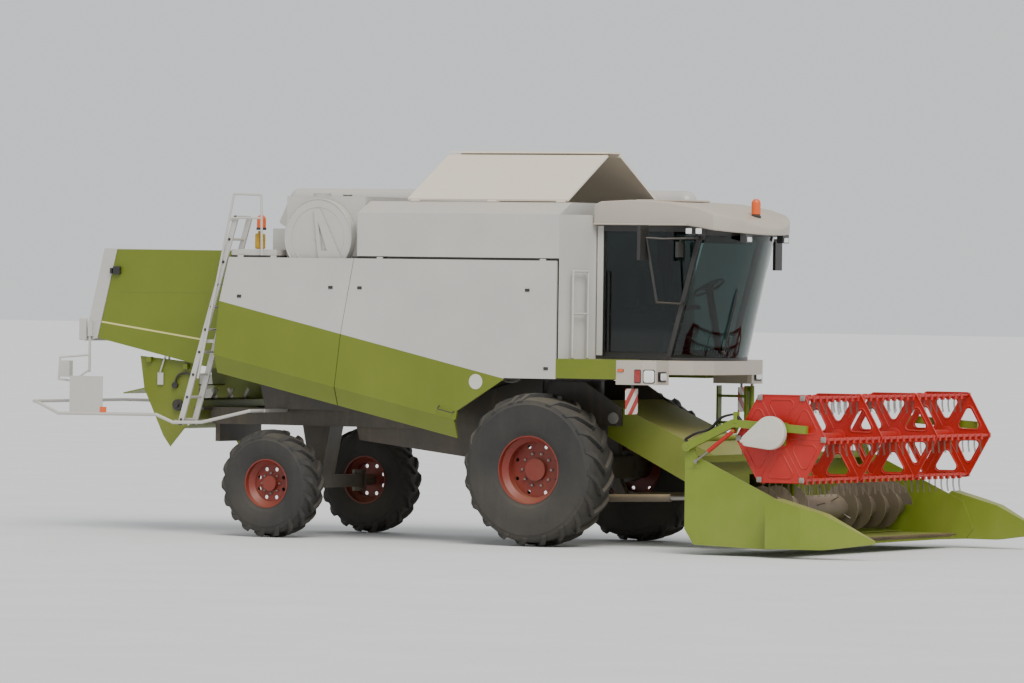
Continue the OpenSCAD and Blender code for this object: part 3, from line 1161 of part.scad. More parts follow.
// Header lift cylinders between the front axle and the feeder house
module lift_barrels() from_axle() color(chassis_black) both_sides() difference() {
    union() {
        cross_pin(lift_pin[0], lift_pin[1], lift_r, lift_y - lift_eye_w / 2, lift_y + lift_eye_w / 2);
        flat_rod(along(lift_pin, lift_eye, 20), along(lift_pin, lift_eye, 81), 24, lift_y);
        flat_rod(along(lift_pin, lift_eye, 80), along(lift_pin, lift_eye, 1250), lift_r, lift_y);
    }
    cross_pin(lift_pin[0], lift_pin[1], lift_pin_r + fit_gap, 0, far);
    flat_rod(along(lift_pin, lift_eye, 120), along(lift_pin, lift_eye, 1400), lift_rod_r + fit_gap, lift_y);
}
module lift_rods() from_axle() color(steel) both_sides() {
    flat_rod(along(lift_pin, lift_eye, 330), along(lift_pin, lift_eye, norm(lift_eye - lift_pin) - 30), lift_rod_r, lift_y);
    cross_pin(lift_eye[0], lift_eye[1], 42, lift_y - lift_eye_w / 2, lift_y + lift_eye_w / 2);
}

main_frame();
front_axle();
engine_block();
machine_body();
straw_hood();
hood_rear();
grain_tank();
engine_deck();
cab_frame();
cab_roof();
cab_glass();
cab_door();
cab_door_glass();
seat();
steering_column();
front_bumper();
lamps();
walkway();
rear_ladder();
mirrors();
rear_axle();
rear_guard();
chopper_housing();
chopper_rotor();
tow_hitch();
right_front_panel();
right_rear_panel();
left_front_panel();
left_rear_panel();
tank_hood_right();
tank_hood_left();
unloading_auger();
rotary_screen();
access_ladder();
knuckle_right();
knuckle_left();
front_tyre_right();
front_tyre_left();
front_rim_right();
front_rim_left();
rear_tyre_right();
rear_tyre_left();
rear_rim_right();
rear_rim_left();
feeder_house();
header_table();
intake_auger();
knife_bar();
reel_arms();
reel_carriage();
reel();
reel_lift_barrels();
reel_lift_rods();
lift_barrels();
lift_rods();
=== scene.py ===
import math

import bpy
from mathutils import Matrix, Vector


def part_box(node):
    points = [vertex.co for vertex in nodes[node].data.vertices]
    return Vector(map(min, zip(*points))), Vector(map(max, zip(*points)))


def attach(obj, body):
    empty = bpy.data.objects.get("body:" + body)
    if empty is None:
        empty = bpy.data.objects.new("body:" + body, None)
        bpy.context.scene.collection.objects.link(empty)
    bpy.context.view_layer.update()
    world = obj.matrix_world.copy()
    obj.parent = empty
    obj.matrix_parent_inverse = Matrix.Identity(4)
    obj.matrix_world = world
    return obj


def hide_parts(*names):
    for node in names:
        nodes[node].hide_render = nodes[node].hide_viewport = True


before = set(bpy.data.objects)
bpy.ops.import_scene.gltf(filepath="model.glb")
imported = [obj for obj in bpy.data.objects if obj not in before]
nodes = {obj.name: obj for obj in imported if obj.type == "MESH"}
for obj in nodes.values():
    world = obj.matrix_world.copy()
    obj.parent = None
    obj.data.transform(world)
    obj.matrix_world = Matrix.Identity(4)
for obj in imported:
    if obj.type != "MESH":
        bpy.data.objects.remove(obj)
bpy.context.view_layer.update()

# Places are in metres from the front axle, forwards, to the left and up
RIM_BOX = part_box("front_rim_right")
AXLE_X = (RIM_BOX[0].x + RIM_BOX[1].x) / 2


def at(x, y, z):
    """A place in the frame, from its distance ahead of the front axle."""
    return Vector((AXLE_X + x, y, z))


# Camera, stage and light

CAMERA_AZIMUTH = math.radians(28.073)
CAMERA_PLACE = (42.252, -77.046, 3.211)
AIM_RIGHT = -0.01096
AIM_UP = -0.00927
CAMERA_ROLL = math.radians(0.7435)
LENS = 256.9


def make_camera():
    """A long lens at the photograph's angle, with its slight roll."""
    ahead = Vector((-math.sin(CAMERA_AZIMUTH), math.cos(CAMERA_AZIMUTH), 0))
    side = Vector((math.cos(CAMERA_AZIMUTH), math.sin(CAMERA_AZIMUTH), 0))
    look = (ahead + AIM_RIGHT * side + AIM_UP * Vector((0, 0, 1))).normalized()
    right = look.cross(Vector((0, 0, 1))).normalized()
    up = right.cross(look)
    rolled_right = math.cos(CAMERA_ROLL) * right + math.sin(CAMERA_ROLL) * up
    rolled_up = rolled_right.cross(look)
    data = bpy.data.cameras.new("camera")
    data.lens = LENS
    data.sensor_width = 36
    data.clip_end = 1000
    camera = bpy.data.objects.new("camera", data)
    turn = Matrix((rolled_right, rolled_up, -look)).transposed().to_4x4()
    camera.matrix_world = Matrix.Translation(CAMERA_PLACE) @ turn
    bpy.context.scene.collection.objects.link(camera)
    bpy.context.scene.camera = camera


def make_light():
    """A broad soft sun from the front right, and an even sky."""
    sun = bpy.data.lights.new("soft_sun", "SUN")
    sun.energy = 2.7
    sun.angle = math.radians(35)
    sun.color = (1.0, 0.98, 0.95)
    lamp = bpy.data.objects.new("soft_sun", sun)
    lamp.rotation_euler = (math.radians(42), math.radians(8), math.radians(35))
    bpy.context.scene.collection.objects.link(lamp)
    world = bpy.data.worlds.new("studio")
    bpy.context.scene.world = world
    world.use_nodes = True
    tree = world.node_tree
    tree.nodes.clear()
    out = tree.nodes.new("ShaderNodeOutputWorld")
    sky = tree.nodes.new("ShaderNodeBackground")
    sky.inputs["Color"].default_value = (0.93, 0.96, 1.0, 1)
    sky.inputs["Strength"].default_value = 0.74
    backdrop = tree.nodes.new("ShaderNodeBackground")
    backdrop.inputs["Color"].default_value = (0.80, 0.82, 0.84, 1)
    backdrop.inputs["Strength"].default_value = 1.0
    path = tree.nodes.new("ShaderNodeLightPath")
    seen = tree.nodes.new("ShaderNodeMath")
    seen.operation = "MAXIMUM"
    tree.links.new(path.outputs["Is Camera Ray"], seen.inputs[0])
    tree.links.new(path.outputs["Is Transmission Ray"], seen.inputs[1])
    choose = tree.nodes.new("ShaderNodeMixShader")
    tree.links.new(seen.outputs[0], choose.inputs["Fac"])
    tree.links.new(sky.outputs[0], choose.inputs[1])
    tree.links.new(backdrop.outputs[0], choose.inputs[2])
    tree.links.new(choose.outputs[0], out.inputs["Surface"])


def make_floor():
    """A wide pale floor."""
    clear()
    bpy.ops.mesh.primitive_plane_add(size=600)
    floor = bpy.context.object
    floor.name = "floor"
    floor.data.materials.append(floor_material())


# Name and sign of y of each side
SIDES = (("right", -1), ("left", 1))
OUTWARDS = dict(SIDES)
FORWARDS = Vector((1, 0, 0))


# Modelling helpers

def clear():
    """Leaves edit mode and selects nothing."""
    if bpy.context.mode != "OBJECT":
        bpy.ops.object.mode_set(mode="OBJECT")
    bpy.ops.object.select_all(action="DESELECT")


def settle(name):
    """Names the active piece and puts its place into its mesh."""
    piece = bpy.context.object
    piece.name = name
    piece.data.name = name
    bpy.ops.object.transform_apply(location=True, rotation=True, scale=True)
    return piece


def activate(piece):
    """Selects one piece alone and makes it the active one."""
    clear()
    piece.select_set(True)
    bpy.context.view_layer.objects.active = piece


def edit_all():
    """Enters edit mode with the whole of the active piece selected."""
    bpy.ops.object.mode_set(mode="EDIT")
    bpy.ops.mesh.select_all(action="SELECT")


def face_outwards():
    """Turns every face of the piece being edited outwards, and leaves edit mode."""
    bpy.ops.mesh.select_all(action="SELECT")
    bpy.ops.mesh.normals_make_consistent(inside=False)
    bpy.ops.object.mode_set(mode="OBJECT")


def round_edges(piece, width, segments=2, angle=35):
    """Bevels every edge sharper than the angle."""
    activate(piece)
    bevel = piece.modifiers.new("bevel", "BEVEL")
    bevel.width = width
    bevel.segments = segments
    bevel.limit_method = "ANGLE"
    bevel.angle_limit = math.radians(angle)
    bpy.ops.object.modifier_apply(modifier="bevel")
    return piece


def smooth(piece, angle=35):
    """Smooth shading over every edge flatter than the angle."""
    activate(piece)
    bpy.ops.object.shade_smooth_by_angle(angle=math.radians(angle))
    return piece


def block(name, low, high, bevel=0.004):
    """A cuboid with eased edges."""
    clear()
    bpy.ops.mesh.primitive_cube_add(size=1, location=(low + high) / 2, scale=high - low)
    piece = settle(name)
    return round_edges(piece, bevel) if bevel else piece


def rod(name, start, end, radius, sides=16, bevel=0):
    """A round bar from one place to another."""
    clear()
    along = end - start
    bpy.ops.mesh.primitive_cylinder_add(
        vertices=sides, radius=radius, depth=along.length, location=(start + end) / 2,
        rotation=along.to_track_quat("Z", "Y").to_euler())
    piece = settle(name)
    if bevel:
        round_edges(piece, bevel)
    return smooth(piece)


def plate(name, outline, depth, bevel=0):
    """A flat outline of places, extruded by a vector."""
    clear()
    bpy.ops.mesh.primitive_circle_add(vertices=len(outline), fill_type="NGON")
    piece = settle(name)
    for vertex, place in zip(piece.data.vertices, outline):
        vertex.co = place
    edit_all()
    bpy.ops.mesh.extrude_region_move(TRANSFORM_OT_translate={"value": depth})
    face_outwards()
    return round_edges(piece, bevel) if bevel else piece


def join(name, pieces):
    """Several pieces as one."""
    clear()
    for piece in pieces:
        piece.select_set(True)
    bpy.context.view_layer.objects.active = pieces[0]
    if len(pieces) > 1:
        bpy.ops.object.join()
    pieces[0].name = name
    pieces[0].data.name = name
    return pieces[0]


def copy_turned(piece, turn):
    """A copy with its own mesh, moved by a matrix."""
    clear()
    piece.select_set(True)
    bpy.context.view_layer.objects.active = piece
    bpy.ops.object.duplicate()
    twin = bpy.context.object
    twin.data.transform(turn)
    return twin


def mirrored(piece, name):
    """The same piece on the machine's other side, with its faces outwards."""
    twin = copy_turned(piece, Matrix.Scale(-1, 4, Vector((0, 1, 0))))
    twin.name = name
    twin.data.name = name
    activate(twin)
    edit_all()
    bpy.ops.mesh.flip_normals()
    bpy.ops.object.mode_set(mode="OBJECT")
    return twin


def rounded(corners, radius, steps=5):
    """A closed outline of (u, v) points with its corners rounded."""
    outline = []
    count = len(corners)
    for index, corner in enumerate(corners):
        here = Vector(corner)
        back = (Vector(corners[index - 1]) - here).normalized()
        ahead = (Vector(corners[(index + 1) % count]) - here).normalized()
        half = back.angle(ahead) / 2
        reach = radius / math.tan(half)
        middle = here + (back + ahead).normalized() * (radius / math.sin(half))
        first = here + back * reach - middle
        last = here + ahead * reach - middle
        turn = first.angle_signed(last)
        for step in range(steps + 1):
            spoke = first.copy()
            spoke.rotate(Matrix.Rotation(-turn * step / steps, 2))
            outline.append(middle + spoke)
    return outline


def in_side_plane(outline, y):
    """(x, z) points ahead of the front axle as places in the plane at y."""
    return [at(point[0], y, point[1]) for point in outline]


def side_plate(name, outline, y_low, y_high, bevel=0):
    """A plate cut to an x, z outline, between two distances from the middle."""
    return plate(name, in_side_plane(outline, y_low), Vector((0, y_high - y_low, 0)), bevel)


def tube(name, places, radius, bend=0.06, sides=10, closed=False):
    """A bent tube through places, with its corners rounded."""
    clear()
    bpy.ops.curve.primitive_nurbs_path_add()
    piece = bpy.context.object
    curve = piece.data
    curve.splines.clear()
    route = fillet(places, bend, closed)
    spline = curve.splines.new("POLY")
    spline.points.add(len(route) - 1)
    for point, place in zip(spline.points, route):
        point.co = (*place, 1)
    spline.use_cyclic_u = closed
    curve.dimensions = "3D"
    curve.bevel_depth = radius
    curve.bevel_resolution = max(1, sides // 4)
    curve.use_fill_caps = True
    piece.location = (0, 0, 0)
    bpy.ops.object.convert(target="MESH")
    piece = bpy.context.object
    piece.name = name
    piece.data.name = name
    return smooth(piece, 50)


def fillet(places, bend, closed=False, steps=5):
    """A route of straight stretches with an arc-like curve at each corner."""
    count = len(places)
    route = []
    for index, place in enumerate(places):
        if not closed and index in (0, count - 1):
            route.append(place.copy())
            continue
        back = places[index - 1] - place
        ahead = places[(index + 1) % count] - place
        reach = min(bend, back.length * 0.45, ahead.length * 0.45)
        start = place + back.normalized() * reach
        end = place + ahead.normalized() * reach
        for step in range(steps + 1):
            share = step / steps
            first = start.lerp(place, share)
            route.append(first.lerp(place.lerp(end, share), share))
    return route


def cut(piece, cutter, operation="DIFFERENCE"):
    """Takes one piece out of another, or keeps what both share."""
    activate(piece)
    tool = piece.modifiers.new("cut", "BOOLEAN")
    tool.operation = operation
    tool.object = cutter
    tool.solver = "EXACT"
    bpy.ops.object.modifier_apply(modifier="cut")
    bpy.data.objects.remove(cutter)
    return piece


def spun(name, profile, middle, steps, axis=(0, 1, 0), angle=30):
    """A (radius, along) profile spun through a middle, round an axis along y or z."""
    clear()
    bpy.ops.mesh.primitive_circle_add(vertices=len(profile), fill_type="NOTHING")
    piece = settle(name)
    for vertex, (radius, along) in zip(piece.data.vertices, profile):
        vertex.co = middle + Vector((radius, 0, 0)) + along * Vector(axis)
    edit_all()
    bpy.ops.mesh.spin(steps=steps, angle=2 * math.pi, center=middle, axis=axis)
    bpy.ops.mesh.select_all(action="SELECT")
    bpy.ops.mesh.remove_doubles(threshold=0.0002)
    face_outwards()
    return smooth(piece, angle)


def turned_about(middle, degrees):
    """A turn about an axis along y through a middle."""
    spin = Matrix.Rotation(math.radians(degrees), 4, "Y")
    return Matrix.Translation(middle) @ spin @ Matrix.Translation(-middle)


def repeated(name, piece, turns):
    """Copies of a piece by matrices, joined with it."""
    return join(name, [piece] + [copy_turned(piece, turn) for turn in turns])


def finish_piece(piece, body, material):
    """Gives a piece its material and its body."""
    piece.data.materials.clear()
    piece.data.materials.append(material)
    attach(piece, body)


# Shader node groups

def rgb(red, green, blue):
    """A colour as seen on screen, as the linear values that shaders use."""
    def linear(value):
        share = value / 255
        return share / 12.92 if share <= 0.04045 else ((share + 0.055) / 1.055) ** 2.4
    return (linear(red), linear(green), linear(blue), 1.0)


def new_group(name, inputs, outputs):
    """An empty node group with named sockets."""
    group = bpy.data.node_groups.new(name, "ShaderNodeTree")
    for label, kind, value in inputs:
        socket = group.interface.new_socket(label, in_out="INPUT", socket_type=kind)
        socket.default_value = value
    for label, kind in outputs:
        group.interface.new_socket(label, in_out="OUTPUT", socket_type=kind)
    return group, group.nodes.new("NodeGroupInput"), group.nodes.new("NodeGroupOutput")


def maths(tree, operation, first, second=None, third=None, clamp=False):
    """A Math node whose inputs are sockets or numbers."""
    node = tree.nodes.new("ShaderNodeMath")
    node.operation = operation
    node.use_clamp = clamp
    for slot, value in zip(node.inputs, (first, second, third)):
        if value is None:
            continue
        if isinstance(value, (int, float)):
            slot.default_value = value
        else:
            tree.links.new(value, slot)
    return node.outputs[0]


def mixed(tree, share, first, second):
    """A colour between two, by a mask."""
    node = tree.nodes.new("ShaderNodeMix")
    node.data_type = "RGBA"
    for slot, value in zip((node.inputs[0], node.inputs[6], node.inputs[7]), (share, first, second)):
        if isinstance(value, (int, float, tuple)):
            slot.default_value = value
        else:
            tree.links.new(value, slot)
    return node.outputs[2]


def noise(tree, scale, detail=4.0, stretch=(1, 1, 1), rough=0.55):
    """Noise on the object's own coordinates, from 0 to 1."""
    place = tree.nodes.new("ShaderNodeTexCoord")
    mapping = tree.nodes.new("ShaderNodeMapping")
    mapping.inputs["Scale"].default_value = stretch
    tree.links.new(place.outputs["Object"], mapping.inputs["Vector"])
    node = tree.nodes.new("ShaderNodeTexNoise")
    node.inputs["Scale"].default_value = scale
    node.inputs["Detail"].default_value = detail
    node.inputs["Roughness"].default_value = rough
    tree.links.new(mapping.outputs[0], node.inputs["Vector"])
    return node.outputs["Fac"]


def remap(tree, value, low, high, to_low=0.0, to_high=1.0):
    """A value's range moved to another, held at its ends."""
    node = tree.nodes.new("ShaderNodeMapRange")
    node.inputs["From Min"].default_value = low
    node.inputs["From Max"].default_value = high
    node.inputs["To Min"].default_value = to_low
    node.inputs["To Max"].default_value = to_high
    tree.links.new(value, node.inputs["Value"])
    return node.outputs["Result"]


def build_dust_group():
    """Chaff dust that lies on what faces up and low down, in patches and faint runs."""
    group, source, out = new_group(
        "field_dust",
        [("Colour", "NodeSocketColor", (0.5, 0.5, 0.5, 1)),
         ("Dust Colour", "NodeSocketColor", rgb(196, 172, 132)),
         ("Amount", "NodeSocketFloat", 0.5),
         ("Roughness", "NodeSocketFloat", 0.45)],
        [("Colour", "NodeSocketColor"), ("Roughness", "NodeSocketFloat"), ("Height", "NodeSocketFloat")])
    patches = noise(group, 1.3, 6.0)
    specks = noise(group, 38.0, 3.0)
    runs = noise(group, 9.0, 4.0, (1, 1, 0.08))
    geometry = group.nodes.new("ShaderNodeNewGeometry")
    facing = group.nodes.new("ShaderNodeSeparateXYZ")
    group.links.new(geometry.outputs["Normal"], facing.inputs[0])
    up = maths(group, "POWER", maths(group, "MAXIMUM", facing.outputs["Z"], 0.0), 1.5)
    place = group.nodes.new("ShaderNodeTexCoord")
    height = group.nodes.new("ShaderNodeSeparateXYZ")
    group.links.new(place.outputs["Object"], height.inputs[0])
    low = remap(group, height.outputs["Z"], 2.2, 0.2)
    cover = maths(group, "MULTIPLY_ADD", up, 0.75, 0.10)
    cover = maths(group, "MULTIPLY_ADD", low, 0.35, cover)
    spread = remap(group, patches, 0.30, 0.72, 0.45, 1.25)
    cover = maths(group, "MULTIPLY", cover, spread)
    cover = maths(group, "MULTIPLY_ADD", remap(group, runs, 0.52, 0.75), 0.10, cover)
    cover = maths(group, "MULTIPLY_ADD", remap(group, specks, 0.56, 0.72), 0.07, cover)
    share = maths(group, "MULTIPLY", cover, source.outputs["Amount"], clamp=True)
    shade = remap(group, patches, 0.25, 0.75, 0.93, 1.06)
    tone = group.nodes.new("ShaderNodeHueSaturation")
    group.links.new(shade, tone.inputs["Value"])
    group.links.new(source.outputs["Colour"], tone.inputs["Color"])
    colour = mixed(group, share, tone.outputs[0], source.outputs["Dust Colour"])
    group.links.new(colour, out.inputs["Colour"])
    rough = maths(group, "MULTIPLY_ADD", share, 0.45, source.outputs["Roughness"], clamp=True)
    group.links.new(rough, out.inputs["Roughness"])
    group.links.new(maths(group, "MULTIPLY_ADD", specks, 0.35, share), out.inputs["Height"])
    return group


def build_wear_group():
    """Paint rubbed through along sharp edges, in broken stretches."""
    group, source, out = new_group(
        "edge_wear",
        [("Colour", "NodeSocketColor", (0.5, 0.5, 0.5, 1)),
         ("Bare Colour", "NodeSocketColor", rgb(120, 116, 110)),
         ("Amount", "NodeSocketFloat", 0.5)],
        [("Colour", "NodeSocketColor")])
    bevel = group.nodes.new("ShaderNodeBevel")
    bevel.samples = 4
    bevel.inputs["Radius"].default_value = 0.008
    geometry = group.nodes.new("ShaderNodeNewGeometry")
    dot = group.nodes.new("ShaderNodeVectorMath")
    dot.operation = "DOT_PRODUCT"
    group.links.new(bevel.outputs[0], dot.inputs[0])
    group.links.new(geometry.outputs["Normal"], dot.inputs[1])
    edge = remap(group, dot.outputs["Value"], 0.99, 0.86)
    broken = remap(group, noise(group, 7.0, 6.0), 0.42, 0.62)
    worn = maths(group, "MULTIPLY", edge, broken)
    mask = maths(group, "MULTIPLY", worn, source.outputs["Amount"], clamp=True)
    colour = mixed(group, mask, source.outputs["Colour"], source.outputs["Bare Colour"])
    group.links.new(colour, out.inputs["Colour"])
    return group


DUST = build_dust_group()
WEAR = build_wear_group()


# Materials

def new_material(name):
    """A material with an empty Principled shader."""
    material = bpy.data.materials.new(name)
    material.use_nodes = True
    tree = material.node_tree
    return material, tree, tree.nodes["Principled BSDF"]


def grouped(tree, group, **values):
    """A group placed in a material, with numbers, colours or sockets on its inputs."""
    node = tree.nodes.new("ShaderNodeGroup")
    node.node_tree = group
    for label, value in values.items():
        slot = node.inputs[label.replace("_", " ")]
        if isinstance(value, (int, float, tuple)):
            slot.default_value = value
        else:
            tree.links.new(value, slot)
    return node


def bump(tree, shader, height, distance, strength=1.0):
    """A Bump node on the shader's normal."""
    node = tree.nodes.new("ShaderNodeBump")
    node.inputs["Strength"].default_value = strength
    node.inputs["Distance"].default_value = distance
    tree.links.new(height, node.inputs["Height"])
    tree.links.new(node.outputs[0], shader.inputs["Normal"])


def paint(name, colour, rough=0.38, dust=0.5, wear=0.0, bare=(120, 116, 110), coat=0.25, pattern=None):
    """Sprayed sheet metal: a slight orange-peel bump, edge wear and field dust."""
    material, tree, shader = new_material(name)
    base = pattern(tree) if pattern else rgb(*colour)
    if wear:
        base = grouped(tree, WEAR, Colour=base, Bare_Colour=rgb(*bare), Amount=wear).outputs["Colour"]
    dusty = grouped(tree, DUST, Colour=base, Amount=dust, Roughness=rough)
    tree.links.new(dusty.outputs["Colour"], shader.inputs["Base Color"])
    tree.links.new(dusty.outputs["Roughness"], shader.inputs["Roughness"])
    shader.inputs["Coat Weight"].default_value = coat
    shader.inputs["Coat Roughness"].default_value = 0.25
    bump(tree, shader, dusty.outputs["Height"], 0.0006, 0.4)
    return material


def plain_metal(name, colour, rough=0.35, dust=0.3):
    """Bare or plated metal with fine scratches."""
    material, tree, shader = new_material(name)
    scratches = remap(tree, noise(tree, 60.0, 5.0, (1, 1, 0.05)), 0.3, 0.7, -0.08, 0.08)
    dusty = grouped(tree, DUST, Colour=rgb(*colour), Amount=dust, Roughness=rough)
    tree.links.new(dusty.outputs["Colour"], shader.inputs["Base Color"])
    scratched = maths(tree, "ADD", dusty.outputs["Roughness"], scratches, clamp=True)
    tree.links.new(scratched, shader.inputs["Roughness"])
    shader.inputs["Metallic"].default_value = 1.0
    bump(tree, shader, dusty.outputs["Height"], 0.0004, 0.4)
    return material


def rubber(name, colour, dust):
    """Tyre and hose rubber, dull and dusty."""
    material, tree, shader = new_material(name)
    grain = noise(tree, 90.0, 3.0)
    dusty = grouped(tree, DUST, Colour=rgb(*colour), Dust_Colour=rgb(128, 118, 100), Amount=dust,
                    Roughness=0.72)
    tree.links.new(dusty.outputs["Colour"], shader.inputs["Base Color"])
    tree.links.new(dusty.outputs["Roughness"], shader.inputs["Roughness"])
    shader.inputs["Specular IOR Level"].default_value = 0.35
    bump(tree, shader, maths(tree, "ADD", dusty.outputs["Height"], grain), 0.0015, 0.5)
    return material


def glass(name, colour, dust=0.12):
    """Tinted window glass with a thin veil of dust."""
    material, tree, shader = new_material(name)
    dusty = grouped(tree, DUST, Colour=rgb(*colour), Amount=dust, Roughness=0.04)
    tree.links.new(dusty.outputs["Colour"], shader.inputs["Base Color"])
    shader.inputs["Roughness"].default_value = 0.02
    shader.inputs["Transmission Weight"].default_value = 1.0
    shader.inputs["IOR"].default_value = 1.45
    return material


def fabric(name, colour):
    """Woven seat cloth."""
    material, tree, shader = new_material(name)
    place = tree.nodes.new("ShaderNodeTexCoord")
    weave = tree.nodes.new("ShaderNodeTexWave")
    weave.inputs["Scale"].default_value = 160.0
    weave.inputs["Distortion"].default_value = 0.6
    tree.links.new(place.outputs["Object"], weave.inputs["Vector"])
    dusty = grouped(tree, DUST, Colour=rgb(*colour), Amount=0.3, Roughness=0.85)
    tree.links.new(dusty.outputs["Colour"], shader.inputs["Base Color"])
    tree.links.new(dusty.outputs["Roughness"], shader.inputs["Roughness"])
    shader.inputs["Sheen Weight"].default_value = 0.3
    bump(tree, shader, weave.outputs["Fac"], 0.001, 0.5)
    return material


def floor_material():
    """Pale matt floor with a trace of mottling."""
    material, tree, shader = new_material("pale_floor")
    tone = remap(tree, noise(tree, 0.6, 3.0), 0.3, 0.7)
    tree.links.new(mixed(tree, tone, rgb(222, 222, 220), rgb(228, 228, 227)), shader.inputs["Base Color"])
    shader.inputs["Roughness"].default_value = 0.9
    return material


GREEN = (104, 118, 10)
ARM_GREEN = (110, 131, 14)
WHITE = (192, 190, 184)
ROOF = (180, 172, 160)
RED = (180, 6, 4)
RIM_RED = (118, 9, 7)
BLACK = (38, 40, 42)

# The white and the green of the side panels meet on a line from the rear top to the front foot
SPLIT_REAR = (-4.33, 2.84)
SPLIT_FRONT = (-0.44, 1.98)
# Lamps above this height or behind this x are beacons
BEACON_ABOVE = 3.886
BEACON_BEHIND = -3.0


def axle_coordinates(tree):
    """Object coordinates split into x ahead of the front axle, y and z."""
    place = tree.nodes.new("ShaderNodeTexCoord")
    parts = tree.nodes.new("ShaderNodeSeparateXYZ")
    tree.links.new(place.outputs["Object"], parts.inputs[0])
    return maths(tree, "SUBTRACT", parts.outputs["X"], AXLE_X), parts.outputs["Y"], parts.outputs["Z"]


def above_line(tree, rear, front, edge=0.002):
    """1 above the line through two x, z points, and 0 below."""
    ahead, _, height = axle_coordinates(tree)
    slope = (front[1] - rear[1]) / (front[0] - rear[0])
    line = maths(tree, "MULTIPLY_ADD", ahead, slope, rear[1] - slope * rear[0])
    return remap(tree, maths(tree, "SUBTRACT", height, line), -edge, edge)


def side_panel_colours(tree):
    """White over green, split by the slanted line."""
    white = above_line(tree, SPLIT_REAR, SPLIT_FRONT)
    return mixed(tree, white, rgb(*GREEN), rgb(*WHITE))


def rear_hood_green_with_painted_highlight(tree):
    """Green with a pale painted highlight along the ledge where the lower part steps out."""
    # The thin band between these two lines is a painted highlight on the ledge's edge, in pale yellow-green
    below = above_line(tree, (-6.45, 2.565), (-4.4, 2.285))
    above = above_line(tree, (-6.45, 2.585), (-4.4, 2.305))
    band_mask = maths(tree, "SUBTRACT", below, above)
    return mixed(tree, band_mask, rgb(*GREEN), rgb(214, 208, 132))


def board_colours(tree):
    """Red and white diagonal stripes, the other way round on each side of the machine."""
    _, across, height = axle_coordinates(tree)
    slant = maths(tree, "ADD", maths(tree, "ABSOLUTE", across), height)
    wave = maths(tree, "PINGPONG", slant, 0.11)
    band_mask = remap(tree, wave, 0.054, 0.056)
    return mixed(tree, band_mask, rgb(*RED), rgb(225, 222, 214))


def lamp_colours(tree):
    """Orange beacons on the roof and the deck; dark housings for the other lamps."""
    ahead, _, height = axle_coordinates(tree)
    on_roof = maths(tree, "GREATER_THAN", height, BEACON_ABOVE)
    on_deck = maths(tree, "LESS_THAN", ahead, BEACON_BEHIND)
    return mixed(tree, maths(tree, "MAXIMUM", on_roof, on_deck), rgb(44, 46, 48), rgb(226, 92, 20))


def rail_colours(tree):
    """Green platform beams, and a white hand rail above them."""
    _, _, height = axle_coordinates(tree)
    return mixed(tree, remap(tree, height, 2.228, 2.232), rgb(*GREEN), rgb(*WHITE))


PAINTS = {
    "panel": paint("side_panel_paint", WHITE, 0.42, 0.20, 0.25, coat=0.08, pattern=side_panel_colours),
    # Rear hood: green with a painted highlight along its ledge
    "hood": paint("rear_hood_paint", GREEN, 0.42, 0.20, 0.25, coat=0.08, pattern=rear_hood_green_with_painted_highlight),
    "green": paint("green_paint", GREEN, 0.42, 0.35, 0.4, coat=0.05),
    "arm": paint("arm_green_paint", ARM_GREEN, 0.42, 0.22, 0.5, coat=0.05),
    "white": paint("white_paint", WHITE, 0.36, 0.30, 0.2, coat=0.35),
    "roof": paint("roof_white_paint", ROOF, 0.45, 0.42, 0.1),
    "red": paint("reel_red_paint", RED, 0.42, 0.12, 0.35, bare=(196, 120, 100), coat=0.03),
    "rim": paint("rim_red_paint", RIM_RED, 0.45, 0.25, 0.4, coat=0.03),
    "chassis": paint("chassis_paint", BLACK, 0.5, 0.55, 0.3),
    "cab_black": paint("cab_black_paint", (28, 30, 32), 0.42, 0.22, 0.15),
    "tank": paint("tank_hood_paint", (232, 222, 206), 0.45, 0.35, 0.1),
    "rail": paint("platform_paint", GREEN, 0.42, 0.2, 0.3, coat=0.05, pattern=rail_colours),
    "steel": plain_metal("worn_steel", (150, 148, 144)),
    "dark_steel": plain_metal("dark_steel", (90, 88, 84), 0.45, 0.6),
    "cast": paint("cast_grey", (128, 126, 122), 0.5, 0.4, 0.3),
    "cover": paint("cover_white", (206, 202, 190), 0.4, 0.28, 0.1),
    "rubber": rubber("tyre_rubber", (36, 39, 43), 0.5),
    "glass": glass("cab_glass", (96, 120, 118)),
    "seat": fabric("seat_cloth", (52, 56, 62)),
    "hose": rubber("hose_rubber", (30, 31, 33), 0.25),
    "worn": paint("worn_auger_paint", (98, 92, 84), 0.42, 0.5, 0.8, bare=(170, 166, 158), coat=0.0),
    "yellow": paint("tank_yellow", (206, 168, 40), 0.4, 0.3),
    "lens": paint("clear_lens", (232, 234, 230), 0.08, 0.12, coat=0.9),
    "red_lens": paint("red_lens", (150, 24, 20), 0.12, 0.12, coat=0.8),
    "cab_plastic": paint("cab_plastic", (58, 60, 62), 0.55, 0.2),
    "mirror": plain_metal("mirror_silver", (205, 210, 214), 0.05, 0.15),
    "warning": paint("warning_stripes", RED, 0.35, 0.25, pattern=board_colours),
    "housing": paint("lamp_housing", (44, 46, 48), 0.35, 0.15, coat=0.3, pattern=lamp_colours),
    "lamp": paint("lamp_orange", (226, 92, 20), 0.25, 0.1, coat=0.6),
}

